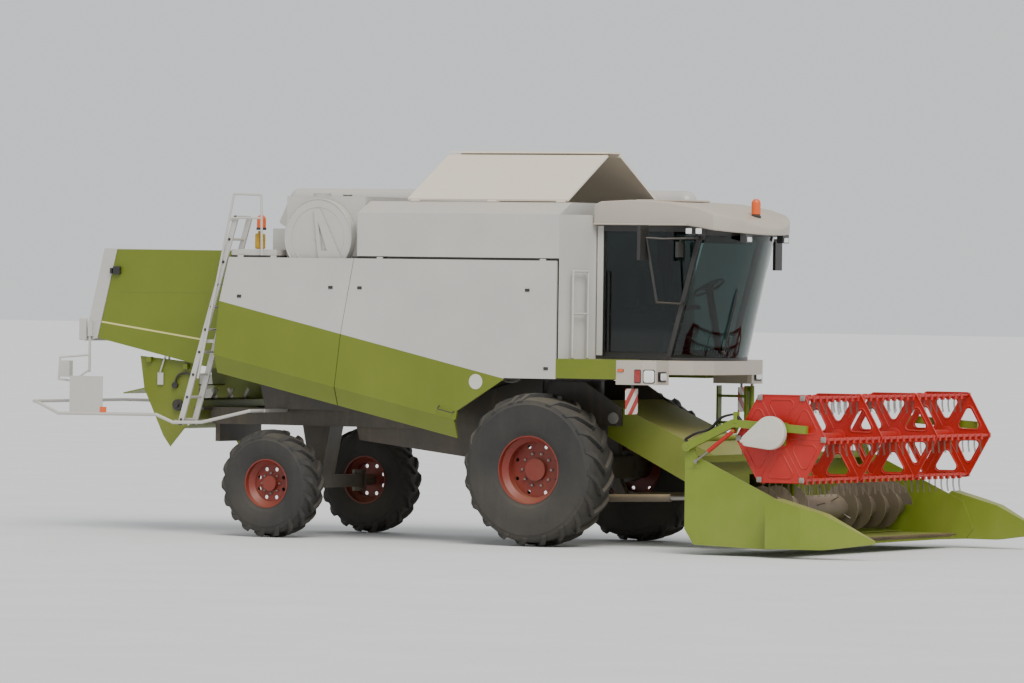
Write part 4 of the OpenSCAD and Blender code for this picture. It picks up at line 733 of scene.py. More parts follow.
NODE_PAINTS = {
    "panel": ("right_front_panel", "right_rear_panel", "left_front_panel", "left_rear_panel"),
    "hood": ("straw_hood",),
    "rail": ("walkway",),
    "green": ("chopper_housing", "feeder_house"),
    "arm": ("header_table", "reel_arms", "reel_carriage", "access_ladder"),
    "white": ("grain_tank", "engine_deck", "rotary_screen", "unloading_auger", "rear_ladder", "rear_guard",
              "hood_rear"),
    "roof": ("cab_roof", "front_bumper"),
    "tank": ("tank_hood_right", "tank_hood_left"),
    "red": ("reel", "reel_lift_barrels"),
    "rim": ("front_rim_right", "front_rim_left", "rear_rim_right", "rear_rim_left"),
    "chassis": ("main_frame", "front_axle", "rear_axle", "engine_block", "machine_body", "knuckle_right",
                "knuckle_left", "tow_hitch", "lift_barrels"),
    "cab_black": ("cab_frame", "cab_door", "mirrors", "steering_column"),
    "steel": ("chopper_rotor", "intake_auger", "lift_rods", "reel_lift_rods"),
    "dark_steel": ("knife_bar",),
    "rubber": ("front_tyre_right", "front_tyre_left", "rear_tyre_right", "rear_tyre_left"),
    "glass": ("cab_glass", "cab_door_glass"),
    "seat": ("seat",),
    "housing": ("lamps",),
}


def dress_nodes():
    """Puts each CAD node's finish in its material slots."""
    for finish, names in NODE_PAINTS.items():
        for name in names:
            data = nodes[name].data
            data.materials.clear()
            data.materials.append(PAINTS[finish])


# Wheels

# Distance of each wheel disc's outer face from the machine's middle
FRONT_DISC = 1.290 + 0.040
REAR_DISC = 1.190 + 0.030

TYRES = {
    "front": {"radius": 0.905, "width": 0.62, "rim": 0.431, "lug": 0.045, "lugs": 20, "sweep": 17},
    "rear": {"radius": 0.650, "width": 0.42, "rim": 0.322, "lug": 0.040, "lugs": 18, "sweep": 19},
}


def tyre_profile(size):
    """Cross-section of a tractor tyre, as (radius, along) points."""
    half = size["width"] / 2
    crown = size["radius"] - size["lug"]
    rim = size["rim"]
    upper = [(rim - 0.026, half - 0.075), (rim - 0.024, half - 0.048), (rim + 0.008, half - 0.036),
             (rim + 0.024, half - 0.026), (rim + 0.034, half - 0.024), (rim + 0.080, half - 0.008),
             (rim + 0.5 * (crown - rim), half), (crown - 0.090, half - 0.008), (crown - 0.080, half - 0.016),
             (crown - 0.040, half - 0.032), (crown - 0.008, half - 0.080), (crown, half * 0.4)]
    return upper + [(point, -along) for point, along in reversed(upper)]


def tread_lug(size, middle, side):
    """One lug that sweeps back from the crown to the shoulder, wider at its foot."""
    clear()
    bpy.ops.mesh.primitive_cube_add(size=1)
    lug = settle("lug")
    edit_all()
    bpy.ops.mesh.subdivide(number_cuts=3)
    bpy.ops.object.mode_set(mode="OBJECT")
    half = size["width"] / 2
    for vertex in lug.data.vertices:
        across, share, rise = vertex.co.x, vertex.co.y + 0.5, vertex.co.z + 0.5
        wide = 0.052 + 0.016 * share + 0.022 * (1 - rise)
        angle = -math.radians(size["sweep"]) * share ** 1.25 + across * wide / size["radius"]
        along = side * (-0.016 + share * (half - 0.004))
        shoulder = 0.085 * max(0.0, share - 0.62) ** 2 / 0.144
        reach = size["radius"] - shoulder - (1 - rise) * (size["lug"] + 0.03)
        vertex.co = middle + Vector((reach * math.sin(angle), along, reach * math.cos(angle)))
    activate(lug)
    edit_all()
    face_outwards()
    return smooth(lug, 40)


def make_tyre(end, side_name):
    """A tyre with its lugs, in place of the plain one."""
    size = TYRES[end]
    low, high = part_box(f"{end}_tyre_{side_name}")
    middle = (low + high) / 2
    middle.z = size["radius"]
    outer = OUTWARDS[side_name]
    carcass = spun(f"{end}_tread_{side_name}", [(r, a * outer) for r, a in tyre_profile(size)], middle, 72)
    lugs = []
    pitch = 360 / size["lugs"]
    for side, start in ((1, 0), (-1, pitch / 2)):
        lug = tread_lug(size, middle, side)
        lugs.append(repeated("lugs", copy_turned(lug, turned_about(middle, start)),
                             [turned_about(middle, start + pitch * step) for step in range(1, size["lugs"])]))
        bpy.data.objects.remove(lug)
    tyre = join(f"{end}_tread_{side_name}", [carcass] + lugs)
    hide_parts(f"{end}_tyre_{side_name}")
    finish_piece(tyre, f"{end}_wheel_{side_name}", PAINTS["rubber"])


def make_wheel_nuts(end, side_name, face_y, circle, count, size):
    """Wheel nuts on their studs."""
    low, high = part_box(f"{end}_rim_{side_name}")
    outer = OUTWARDS[side_name]
    face = Vector(((low.x + high.x) / 2, face_y * outer, (low.z + high.z) / 2))
    foot = face + Vector((circle, -0.002 * outer, 0))
    nut = join("nut", [rod("nut", foot, foot + Vector((0, 0.022 * outer, 0)), size, 6, 0.002),
                       rod("stud", foot, foot + Vector((0, 0.036 * outer, 0)), size * 0.5, 10)])
    nuts = repeated(f"{end}_wheel_nuts_{side_name}", nut,
                    [turned_about(face, step * 360 / count) for step in range(1, count)])
    finish_piece(nuts, f"{end}_wheel_{side_name}", PAINTS["steel"])


# Reel

REEL = at(3.650, 0, 1.360)
REEL_HALF = 2.215
BAR_CIRCLE = 0.543
CORNER_R = 0.580
PLATE_YS = (-2.215, -0.740, 0.740, 2.207)
TINE_PITCH = 0.165
CORNERS = range(0, 360, 60)
FLATS = range(30, 390, 60)


def hexagon(radius):
    """Six corners round the reel's shaft, as (x, z) points from it."""
    return [(radius * math.cos(math.radians(a)), radius * math.sin(math.radians(a))) for a in CORNERS]


def bar_spot(degrees):
    """From the shaft to the tine tube at an angle."""
    angle = math.radians(degrees)
    return Vector((BAR_CIRCLE * math.cos(angle), 0, BAR_CIRCLE * math.sin(angle)))


def reel_places(outline, y):
    """Places in the frame of an outline round the shaft, at a y."""
    return [Vector((REEL.x + point[0], y, REEL.z + point[1])) for point in outline]


def reel_window(shrink=0.0, radius=0.045):
    """Rounded triangle with its base beside the plate's edge and its tip towards the shaft."""
    tip, base, half = 0.155 + shrink, 0.428 - shrink, 0.168 - shrink
    return rounded([(tip, 0.0), (base, -half), (base, half)], radius)


def turned_outline(outline, degrees):
    """An outline turned about the reel's shaft."""
    angle = math.radians(degrees)
    return [(u * math.cos(angle) - v * math.sin(angle), u * math.sin(angle) + v * math.cos(angle))
            for u, v in outline]


def reel_plate(index, y):
    """A pressed six-sided plate: closed at the right end, with windows elsewhere."""
    thick = 0.005
    shell = plate(f"reel_plate_{index}", reel_places(hexagon(CORNER_R), y), Vector((0, thick, 0)))
    parts = []
    if index > 0:
        through = Vector((0, 0.06, 0))
        cutters = [plate("window", reel_places(turned_outline(reel_window(), a), y - 0.02), through)
                   for a in FLATS]
        shell = cut(shell, join("windows", cutters))
    else:
        bore = rod("bore", REEL + Vector((0, y - 0.05, 0)), REEL + Vector((0, y + 0.05, 0)), 0.032, 24)
        shell = cut(shell, bore)
    # Pressed ribs round each window, and a flange round the edge
    for a in FLATS:
        ring = turned_outline(reel_window(-0.022, 0.05), a)
        for face in ((0.0,) if index == 0 else (0.0, thick)):
            parts.append(tube("rib", reel_places(ring, y + face), 0.0085, 0.001, 8, True))
    edge = reel_places(hexagon(CORNER_R - 0.004), y + thick / 2)
    parts.append(tube("flange", edge, 0.010, 0.03, 8, True))
    hub = rod("hub", REEL + Vector((0, y - 0.012, 0)), REEL + Vector((0, y + 0.03, 0)), 0.095, 32, 0.004)
    parts.append(hub)
    # Seams from the hub to each corner
    for spoke in zip(hexagon(0.12), hexagon(0.52)):
        parts.append(tube("seam", reel_places(spoke, y), 0.005, 0.01, 8))
    finish_piece(join(f"reel_plate_{index}", [shell] + parts), "reel_rotor", PAINTS["red"])


def reel_bars():
    """The shaft's tube and the six tine tubes."""
    parts = [rod("core", REEL + Vector((0, -REEL_HALF, 0)), REEL + Vector((0, REEL_HALF, 0)), 0.055, 32)]
    for a in CORNERS:
        spot = bar_spot(a)
        parts.append(rod("bar", REEL + spot + Vector((0, -REEL_HALF - 0.012, 0)),
                         REEL + spot + Vector((0, REEL_HALF + 0.012, 0)), 0.017, 20))
    finish_piece(join("reel_bars", parts), "reel_rotor", PAINTS["red"])


def reel_tines():
    """Spring tines that hang from the tubes, each with its clamp."""
    first = REEL + Vector((0, -REEL_HALF + 0.09, 0))
    low, high = Vector((-0.023, -0.022, -0.050)), Vector((0.023, 0.022, 0.022))
    clamp = block("clamp", first + low, first + high, 0.007)
    fingers = []
    for side in (-0.012, 0.012):
        path = [first + Vector((0, side, -0.03)), first + Vector((-0.004, side, -0.11)),
                first + Vector((0.012, side * 1.2, -0.195))]
        fingers.append(tube("finger", path, 0.0038, 0.08, 4))
    finger = join("finger", fingers)
    count = int((2 * REEL_HALF - 0.15) / TINE_PITCH) + 1
    moves = []
    for a in CORNERS:
        for step in range(count):
            moves.append(Matrix.Translation(bar_spot(a) + Vector((0, step * TINE_PITCH, 0))))
    clamps = spread_copies("reel_clamps", clamp, moves)
    tines = spread_copies("reel_tines", finger, moves)
    finish_piece(clamps, "reel_rotor", PAINTS["red"])
    finish_piece(tines, "reel_rotor", PAINTS["dark_steel"])


def spread_copies(name, piece, moves):
    """Copies of a piece by matrices, joined; the piece itself is removed."""
    copies = [copy_turned(piece, move) for move in moves]
    bpy.data.objects.remove(piece)
    return join(name, copies)


def reel_knobs():
    """Grey bearing caps on the corners of the outer plates."""
    caps = []
    for side in (-1, 1):
        for a in CORNERS:
            spot = REEL + bar_spot(a) + Vector((0, side * (REEL_HALF + 0.010), 0))
            half = Vector((0.032, 0.014, 0.032))
            cap = block("cap", spot - half, spot + half, 0.010)
            boss = rod("boss", spot, spot + Vector((0, side * 0.018, 0)), 0.017, 16, 0.003)
            caps += [cap, boss]
    finish_piece(join("reel_bearing_caps", caps), "reel_rotor", PAINTS["cast"])


def make_reel():
    """The reel's plates, bars, tines and corner caps, in place of the plain one."""
    for index, y in enumerate(PLATE_YS):
        reel_plate(index, y)
    reel_bars()
    reel_tines()
    reel_knobs()
    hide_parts("reel")


# Drive cover on the right reel arm

COVER_BIG = (3.600, 1.430)
COVER_SMALL = (3.310, 1.340)


def teardrop(big_r, small_r, steps=24):
    """Outline round a large and a small circle."""
    big, small = Vector(COVER_BIG), Vector(COVER_SMALL)
    apart = big - small
    lean = math.atan2(apart.y, apart.x)
    touch = math.acos((big_r - small_r) / apart.length)
    outline = []
    for middle, radius, start, end in ((big, big_r, math.pi - touch, -(math.pi - touch)),
                                       (small, small_r, -(math.pi - touch), -(math.pi + touch))):
        for step in range(steps + 1):
            angle = lean + start + (end - start) * step / steps
            outline.append(middle + radius * Vector((math.cos(angle), math.sin(angle))))
    return outline


def make_drive_cover():
    """Moulded white cover with a rounded edge and a hand latch."""
    y_out, y_in = -2.434, -2.349
    cover = side_plate("drive_cover", teardrop(0.192, 0.068), y_in, y_out)
    activate(cover)
    bpy.ops.object.mode_set(mode="EDIT")
    bpy.ops.mesh.select_all(action="DESELECT")
    bpy.ops.object.mode_set(mode="OBJECT")
    for face in cover.data.polygons:
        face.select = face.normal.y < -0.9
    bpy.ops.object.mode_set(mode="EDIT")
    bpy.ops.mesh.inset(thickness=0.012, depth=0.0)
    bpy.ops.mesh.inset(thickness=0.030, depth=0.006)
    bpy.ops.object.mode_set(mode="OBJECT")
    round_edges(cover, 0.018, 4, 50)
    smooth(cover, 40)
    latch = block("latch", at(3.235, y_out - 0.012, 1.315), at(3.275, y_out + 0.03, 1.345), 0.005)
    finish_piece(join("drive_cover", [cover, latch]), "carriage", PAINTS["cover"])


# Cab

ROOF_SIDE = [(0.506, 3.800), (1.740, 3.800), (2.436, 3.700), (2.440, 3.780), (2.300, 3.880), (1.900, 4.010),
             (1.500, 4.075), (1.000, 4.100), (0.600, 4.080), (0.506, 4.040)]
ROOF_HALF = 0.950
NOSE_X = 2.440
NOSE_R = 1.500
ROOF_LAMP_Y = 0.480


def make_roof():
    """Moulded roof: rounded shell with a curved front, drip rails and a hatch, in place of the plain one."""
    shell = side_plate("roof", ROOF_SIDE, -ROOF_HALF, ROOF_HALF)
    nose = rod("nose", at(NOSE_X - NOSE_R, 0, 3), at(NOSE_X - NOSE_R, 0, 5), NOSE_R, 96)
    shell = cut(shell, nose, "INTERSECT")
    round_edges(shell, 0.045, 4, 28)
    smooth(shell, 50)
    rails = [tube("drip", [at(0.512, y, 3.812), at(1.735, y, 3.812)], 0.011) for y in (-0.952, 0.952)]
    hatch = block("hatch", at(0.75, -0.36, 4.086), at(1.38, 0.36, 4.112), 0.012)
    roof = join("roof_shell", [shell, hatch] + rails)
    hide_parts("cab_roof")
    finish_piece(roof, "machine", PAINTS["roof"])


def lamp_face(name, middle, ahead, size, lens):
    """A round-cornered lamp: housing, rim and lens, looking along a direction."""
    side = Vector((0, 0, 1)).cross(ahead).normalized()
    up = ahead.cross(side)
    deep, wide, high = size

    def outline(scale, forward):
        signs = ((-1, -1), (1, -1), (1, 1), (-1, 1))
        corners = rounded([(u * wide * scale, v * high * scale) for u, v in signs], min(wide, high) * 0.35)
        return [middle + ahead * forward + side * u + up * v for u, v in corners]

    housing = plate(f"{name}_housing", outline(1.0, -deep), ahead * deep, 0.003)
    glass_plate = plate(f"{name}_lens", outline(0.86, 0.0005), ahead * 0.006, 0.002)
    finish_piece(smooth(housing), "machine", PAINTS["cab_black"])
    finish_piece(smooth(glass_plate), "machine", PAINTS[lens])


def make_front_lamps():
    """Headlamps wrapped round the lamp bar's corners, side lamps, and lenses of the work lamps."""
    for name, side in SIDES:
        outwards = Vector((0, side, 0))
        chamfer = Vector((0.371, side * 0.928, 0))
        # Name, x, distance to the side, z, direction, (depth, half width, half height), lens
        for lamp, x, y, z, ahead, size, lens in (
            ("headlamp", 1.512, 1.414, 2.030, chamfer, (0.02, 0.072, 0.082), "lens"),
            ("marker", 1.375, 1.443, 2.030, outwards, (0.02, 0.046, 0.082), "red_lens"),
            ("dipped_lamp", 1.613, 1.240, 2.025, FORWARDS, (0.006, 0.084, 0.048), "lens"),
            ("side_lamp", 1.15, 1.4445, 2.095, outwards, (0.01, 0.042, 0.020), "lamp"),
        ):
            lamp_face(f"{lamp}_{name}", at(x, side * y, z), ahead, size, lens)
        for x in (1.80, 1.93):
            middle = at(x, side * 1.005, 3.738)
            half = Vector((0.038, 0.008, 0.032))
            lens = block(f"post_lens_{name}_{round(x * 100)}", middle - half, middle + half, 0.006)
            finish_piece(lens, "machine", PAINTS["lens"])
        visor = at(2.331, side * ROOF_LAMP_Y, 3.650)
        lamp_face(f"visor_lamp_{name}", visor, FORWARDS, (0.006, 0.066, 0.032), "lens")


def make_beacon(name, foot, radius, height):
    """Flashing lamp: black foot with a groove, and an orange dome."""
    base = [(0.0, 0.0), (radius * 1.12, 0.0), (radius * 1.12, height * 0.16), (radius * 0.92, height * 0.20),
            (radius * 0.92, height * 0.26), (0.0, height * 0.26)]
    dome = [(0.0, height * 0.24), (radius * 0.90, height * 0.24), (radius * 0.90, height * 0.72),
            (radius * 0.82, height * 0.88), (radius * 0.55, height * 0.98), (0.0, height)]
    for part, profile, finish in (("foot", base, "cab_black"), ("dome", dome, "lamp")):
        piece = spun(f"{name}_{part}", profile, foot, 32, (0, 0, 1), 35)
        finish_piece(piece, "machine", PAINTS[finish])


def make_mirror_glass():
    """Silvered faces on the back of the mirrors, towards the driver."""
    faces = [
        block("mirror_face", at(1.3255, -1.392, 3.405), at(1.3295, -1.218, 3.785), 0.002),
        block("mirror_face", at(1.6675, -1.082, 3.445), at(1.6715, -0.968, 3.595), 0.002),
        block("mirror_face", at(1.8775, 1.048, 3.305), at(1.8815, 1.192, 3.625), 0.002),
    ]
    finish_piece(join("mirror_faces", faces), "machine", PAINTS["mirror"])


def make_seat():
    """Driver's seat: cushion, back, armrests, lever and a bellows base, in place of the plain one."""
    floor = 2.250
    base = [block("base", at(0.90, -0.18, floor), at(1.24, 0.18, floor + 0.05), 0.01)]
    for step in range(4):
        low = floor + 0.05 + step * 0.045
        base.append(block("fold", at(0.915, -0.165, low), at(1.225, 0.165, low + 0.043), 0.018))
    base.append(block("pan", at(0.84, -0.235, floor + 0.232), at(1.30, 0.235, floor + 0.275), 0.012))
    finish_piece(join("seat_base", base), "machine", PAINTS["cab_black"])
    cushion = soft_block("seat_cushion", at(0.825, -0.255, floor + 0.262), at(1.315, 0.255, floor + 0.398))
    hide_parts("seat")
    finish_piece(cushion, "machine", PAINTS["seat"])
    back = soft_block("seat_back", at(0.78, -0.235, floor + 0.41), at(0.89, 0.235, floor + 1.04))
    lean_x(back, at(0.84, 0, floor + 0.41), -8.7)
    finish_piece(back, "machine", PAINTS["seat"])
    arms = []
    # Name, x from and to, y, half width, height from and to, bevel
    for name, back, front, y, half, low, high, bevel in (
        ("arm", 0.90, 1.28, 0.32, 0.035, 0.562, 0.618, 0.016),
        ("arm_post", 0.905, 0.975, 0.275, 0.028, 0.335, 0.57, 0.01),
    ):
        for side in (-1, 1):
            start = at(back, side * y - half, floor + low)
            end = at(front, side * y + half, floor + high)
            arms.append(block(name, start, end, bevel))
    lever = [rod("lever", at(1.22, -0.32, floor + 0.60), at(1.25, -0.32, floor + 0.70), 0.014, 16),
             block("grip", at(1.225, -0.35, floor + 0.69), at(1.285, -0.29, floor + 0.79), 0.02)]
    finish_piece(join("seat_arms", arms + lever), "machine", PAINTS["cab_black"])


def soft_block(name, low, high):
    """A cushion: a finely divided cuboid with rounded edges and a sewn groove near each side."""
    clear()
    bpy.ops.mesh.primitive_cube_add(size=1, location=(low + high) / 2, scale=high - low)
    piece = settle(name)
    round_edges(piece, 0.028, 4)
    edit_all()
    bpy.ops.mesh.subdivide(number_cuts=6)
    bpy.ops.object.mode_set(mode="OBJECT")
    middle = (low + high) / 2
    half = (high - low) / 2
    for vertex in piece.data.vertices:
        across = (vertex.co.y - middle.y) / half.y
        groove = math.exp(-((abs(across) - 0.60) / 0.05) ** 2)
        inward = 1 - 0.035 * groove
        vertex.co.z = middle.z + (vertex.co.z - middle.z) * inward
        vertex.co.x = middle.x + (vertex.co.x - middle.x) * inward
    smooth(piece, 50)
    return piece


def lean_x(piece, foot, degrees):
    """Leans a piece backwards about a line across the machine."""
    piece.data.transform(turned_about(foot, degrees))


def make_cab_fittings():
    """Console with its knobs, monitor and sun blind."""
    console = [block("console", at(0.62, -0.70, 2.262), at(1.30, -0.46, 2.80), 0.03),
               block("console_top", at(0.78, -0.68, 2.79), at(1.32, -0.48, 2.86), 0.02),
               block("box", at(0.545, -0.30, 2.262), at(0.74, 0.30, 2.60), 0.02)]
    for step in range(4):
        knob = at(0.88 + step * 0.09, -0.58, 2.855)
        console.append(rod("knob", knob, knob + Vector((0, 0, 0.03)), 0.016, 16, 0.003))
    monitor = block("monitor", at(1.36, -0.66, 2.96), at(1.40, -0.44, 3.14), 0.01)
    arm = tube("monitor_arm", [at(1.24, -0.60, 2.83), at(1.40, -0.60, 2.90), at(1.385, -0.56, 3.00)], 0.012)
    finish_piece(join("cab_console", console + [monitor, arm]), "machine", PAINTS["cab_plastic"])
    blind = block("blind", at(1.70, -0.60, 3.60), at(1.72, 0.60, 3.72), 0.006)
    finish_piece(blind, "machine", PAINTS["cab_plastic"])


def make_steering_details():
    """Grip ring and a centre pad over the plain steering wheel, with a lever stalk."""
    centre = at(1.560, 0, 3.080)
    tilt = Matrix.Rotation(math.radians(-30), 3, "Y")
    clear()
    bpy.ops.mesh.primitive_torus_add(major_radius=0.190, minor_radius=0.0155, major_segments=56,
                                     minor_segments=14)
    ring = settle("steering_grip")
    ring.data.transform(Matrix.Translation(centre) @ tilt.to_4x4())
    smooth(ring, 60)
    up = tilt @ Vector((0, 0, 1))
    pad = rod("pad", centre - up * 0.025, centre + up * 0.032, 0.062, 32, 0.010)
    stalk = tube("stalk", [centre + tilt @ Vector((0, 0.05, -0.04)), centre + tilt @ Vector((0, 0.20, -0.02)),
                           centre + tilt @ Vector((0.02, 0.25, 0.01))], 0.008)
    finish_piece(join("steering_grip", [ring, pad, stalk]), "machine", PAINTS["cab_plastic"])


def on_windscreen(height, degrees, out=0.0):
    """A place on the curved windscreen, at a height and an angle from straight ahead."""
    middle = 1.985 - 0.980 + math.tan(math.radians(13)) * (height - 2.300)
    angle = math.radians(degrees)
    radius = 0.980 + out
    return at(middle + radius * math.cos(angle), radius * math.sin(angle), height)


def make_wiper():
    """Wiper arm with its blade, upright on the windscreen."""
    bends = ((2.30, -21, 0.004), (2.36, -21, 0.034), (2.98, -19.6, 0.030))
    arm = tube("arm", [on_windscreen(*bend) for bend in bends], 0.008)
    edge = [on_windscreen(2.46 + step * 0.12, -20.4 + step * 0.15, 0.014) for step in range(6)]
    blade = tube("blade", edge, 0.009)
    pivot = rod("pivot", on_windscreen(2.31, -21, -0.004), on_windscreen(2.31, -21, 0.045), 0.022, 24, 0.004)
    finish_piece(join("wiper", [arm, blade, pivot]), "machine", PAINTS["cab_black"])


# Warning boards, handles and latches

def make_warning_boards():
    """Striped boards under the lamp bar."""
    for name, side in SIDES:
        y = side * 1.45
        board = block(f"warning_board_{name}", at(1.300, y - 0.15, 1.585), at(1.312, y + 0.15, 1.885), 0.002)
        y = side * 1.41
        stay = block("stay", at(1.286, y - 0.02, 1.70), at(1.300, y + 0.02, 1.96), 0.002)
        finish_piece(board, "machine", PAINTS["warning"])
        finish_piece(stay, "machine", PAINTS["cab_black"])


# Panels, deck and rear end

PANEL_Y = -1.452


def on_panel(x, z, out=0.0):
    """A place on the right side panels' outer face."""
    return at(x, PANEL_Y - out, z)


def panel_latch(x, z):
    """Small latch on the side panels' outer face."""
    return block("latch", on_panel(x - 0.03, z - 0.018, 0.006), on_panel(x + 0.03, z + 0.018, -0.004), 0.003)


def make_panel_fittings():
    """Latches, a wire handle and a blank disc on the right panels; twins on the left."""
    disc = rod("disc", on_panel(-0.78, 1.93, -0.004), on_panel(-0.78, 1.93, 0.002), 0.090, 48)
    front = [panel_latch(x, z) for x, z in ((-2.38, 3.02), (-0.10, 3.02), (0.16, 2.10))]
    bends = ((-1.27, 1.64, -0.004), (-1.27, 1.60, 0.05), (-1.07, 1.555, 0.05), (-1.07, 1.575, -0.004))
    front.append(tube("handle", [on_panel(*bend) for bend in bends], 0.007, 0.02, 8))
    rear = [panel_latch(x, z) for x, z in ((-4.05, 2.90), (-2.78, 3.02))]
    for name, pieces, paint_name in (("front", [disc], "cover"), ("front_latches", front, "cab_black"),
                                     ("rear_latches", rear, "cab_black")):
        piece = join(f"panel_{name}_right", pieces)
        end = "front" if name.startswith("front") else "rear"
        twin = mirrored(piece, f"panel_{name}_left")
        finish_piece(piece, f"panel_right_{end}", PAINTS[paint_name])
        finish_piece(twin, f"panel_left_{end}", PAINTS[paint_name])


def make_ladder_fittings():
    """Black rung ends and shoes on the rear ladder."""
    foot, head = Vector((-4.860, 1.340)), Vector((-4.110, 3.860))
    length = (head - foot).length
    first, pitch = 0.06, 0.285
    pieces = []
    for step in range(int((length - first) / pitch) + 1):
        x, z = foot.lerp(head, (first + step * pitch) / length)
        pieces.append(rod("cap", at(x, -1.4535, z), at(x, -1.463, z), 0.017, 16, 0.003))
    for y in (-1.440, -1.120):
        low = at(foot[0] - 0.026, y - 0.016, foot[1] - 0.012)
        high = at(foot[0] + 0.032, y + 0.016, foot[1] + 0.03)
        pieces.append(block("shoe", low, high, 0.005))
    finish_piece(join("ladder_caps", pieces), "machine", PAINTS["cab_black"])


def ring(name, middle, radius, thick, steps, level=False, sides=8):
    """A thin hoop round a middle, upright along the machine or level."""
    places = []
    for step in range(steps):
        angle = 2 * math.pi * step / steps
        along, up = radius * math.cos(angle), radius * math.sin(angle)
        places.append(middle + Vector((along, up, 0) if level else (along, 0, up)))
    return tube(name, places, thick, 0.02, sides, True)


def make_screen_fittings():
    """Rim, ring and hub on the rotating screen."""
    face = at(-3.020, -1.350, 3.620)
    proud = Vector((0, -0.001, 0))
    rim = ring("rim", face + proud, 0.458, 0.008, 48)
    inner = ring("ring", face + proud, 0.36, 0.004, 48)
    hub = rod("hub", face - 4 * proud, face + 6 * proud, 0.055, 32, 0.003)
    finish_piece(join("screen_rim", [rim, inner, hub]), "screen", PAINTS["white"])


def make_deck_fittings():
    """Filter's clamps, exhaust rim and the yellow tank beside the ladder."""
    clamps = [ring("clamp", at(-3.84, 0.15, z), 0.152, 0.006, 36, True, 6) for z in (3.45, 3.60, 3.76)]
    finish_piece(join("filter_clamps", clamps), "machine", PAINTS["steel"])
    stack = ring("exhaust_rim", at(-3.80, 0.70, 4.150), 0.056, 0.006, 24, True, 6)
    finish_piece(stack, "machine", PAINTS["dark_steel"])
    tank = block("yellow_tank", at(-4.02, -1.16, 3.470), at(-3.95, -1.00, 3.66), 0.02)
    cap = rod("cap", at(-3.985, -1.08, 3.65), at(-3.985, -1.08, 3.69), 0.03, 24, 0.004)
    finish_piece(join("yellow_tank", [tank, cap]), "machine", PAINTS["yellow"])


def make_rear_lights():
    """Tail lamps, reflectors on the guard, and the box and the seam on the rear hood."""
    for name, side in SIDES:
        size = (0.012, 0.034, 0.036)
        for lamp, z, lens in (("tail_lamp", 2.03, "red_lens"), ("tail_turn", 1.935, "lamp")):
            lamp_face(f"{lamp}_{name}", at(-6.733, side * 1.200, z), -FORWARDS, size, lens)
        y = side * 1.486
        reflector = block(f"reflector_{name}", at(-5.98, y - 0.006, 1.46), at(-5.89, y + 0.006, 1.53), 0.002)
        finish_piece(reflector, "machine", PAINTS["lamp"])
    box = block("rear_box", at(-6.16, -0.945, 3.14), at(-6.06, -0.902, 3.24), 0.008)
    finish_piece(box, "machine", PAINTS["cab_black"])
    seam = tube("hood_seam", [at(-6.13, -0.9005, 2.93), at(-4.30, -0.9005, 2.93)], 0.002, 0.02, 6)
    finish_piece(seam, "machine", PAINTS["green"])


# Header

AUGER = at(2.960, 0, 0.505)
FLIGHT_TURNS = 4.2
FLIGHT_INNER = 0.146
FLIGHT_OUTER = 0.280
GUARD_PITCH = 0.0762
GUARDS = 58


def make_header_details():
    """Knife guards, and the fingers in the middle of the auger."""
    first = at(3.700, -2.20, 0.165)
    corners = ((0, -0.018, 0), (0, 0.018, 0), (0.13, 0.004, -0.012), (0.13, -0.004, -0.012))
    guard = plate("guard", [first + Vector(corner) for corner in corners], Vector((0, 0, 0.016)), 0.002)
    places = [Matrix.Translation(Vector((0, step * GUARD_PITCH, 0))) for step in range(GUARDS)]
    finish_piece(spread_copies("knife_guards", guard, places), "feeder", PAINTS["dark_steel"])
    fingers = []
    for step in range(15):
        y = -0.56 + step * 0.08
        angle = step * 75
        spoke = Vector((math.cos(math.radians(angle)), 0, math.sin(math.radians(angle))))
        start = AUGER + Vector((0, y, 0)) + spoke * 0.14
        fingers.append(rod("finger", start, start + spoke * 0.125, 0.008, 10, 0.002))
    finish_piece(join("auger_fingers", fingers), "auger", PAINTS["steel"])


def helix_flight(y_start, y_end):
    """A screw flight round the auger as a thin bent strip."""
    clear()
    bpy.ops.mesh.primitive_grid_add(x_subdivisions=int(FLIGHT_TURNS * 28), y_subdivisions=1, size=1)
    flight = settle("flight")
    for vertex in flight.data.vertices:
        share = vertex.co.x + 0.5
        radius = FLIGHT_INNER + (FLIGHT_OUTER - FLIGHT_INNER) * (vertex.co.y + 0.5)
        angle = 2 * math.pi * FLIGHT_TURNS * share
        y = y_start + (y_end - y_start) * share
        vertex.co = AUGER + Vector((radius * math.cos(angle), y, radius * math.sin(angle)))
    activate(flight)
    thick = flight.modifiers.new("thick", "SOLIDIFY")
    thick.thickness = 0.005
    thick.offset = 0
    bpy.ops.object.modifier_apply(modifier="thick")
    return smooth(flight, 40)


def make_auger():
    """The intake auger with real screw flights of opposite hands, in place of the ringed one."""
    core = rod("core", AUGER + Vector((0, -2.22, 0)), AUGER + Vector((0, 2.22, 0)), 0.150, 48, 0.004)
    shaft = rod("shaft", AUGER + Vector((0, -2.245, 0)), AUGER + Vector((0, 2.245, 0)), 0.030, 24)
    flights = [helix_flight(side * 2.15, side * 0.58) for side in (-1, 1)]
    auger = join("auger_screw", [core, shaft] + flights)
    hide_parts("intake_auger")
    finish_piece(auger, "auger", PAINTS["worn"])


def make_feeder_details():
    """Pivot caps on the feeder house."""
    pieces = []
    for side in (-1, 1):
        face = side * 0.735
        pieces.append(rod("cap", at(0.70, face, 1.52), at(0.70, face + side * 0.03, 1.52), 0.07, 32, 0.004))
    finish_piece(join("feeder_caps", pieces), "feeder", PAINTS["cast"])


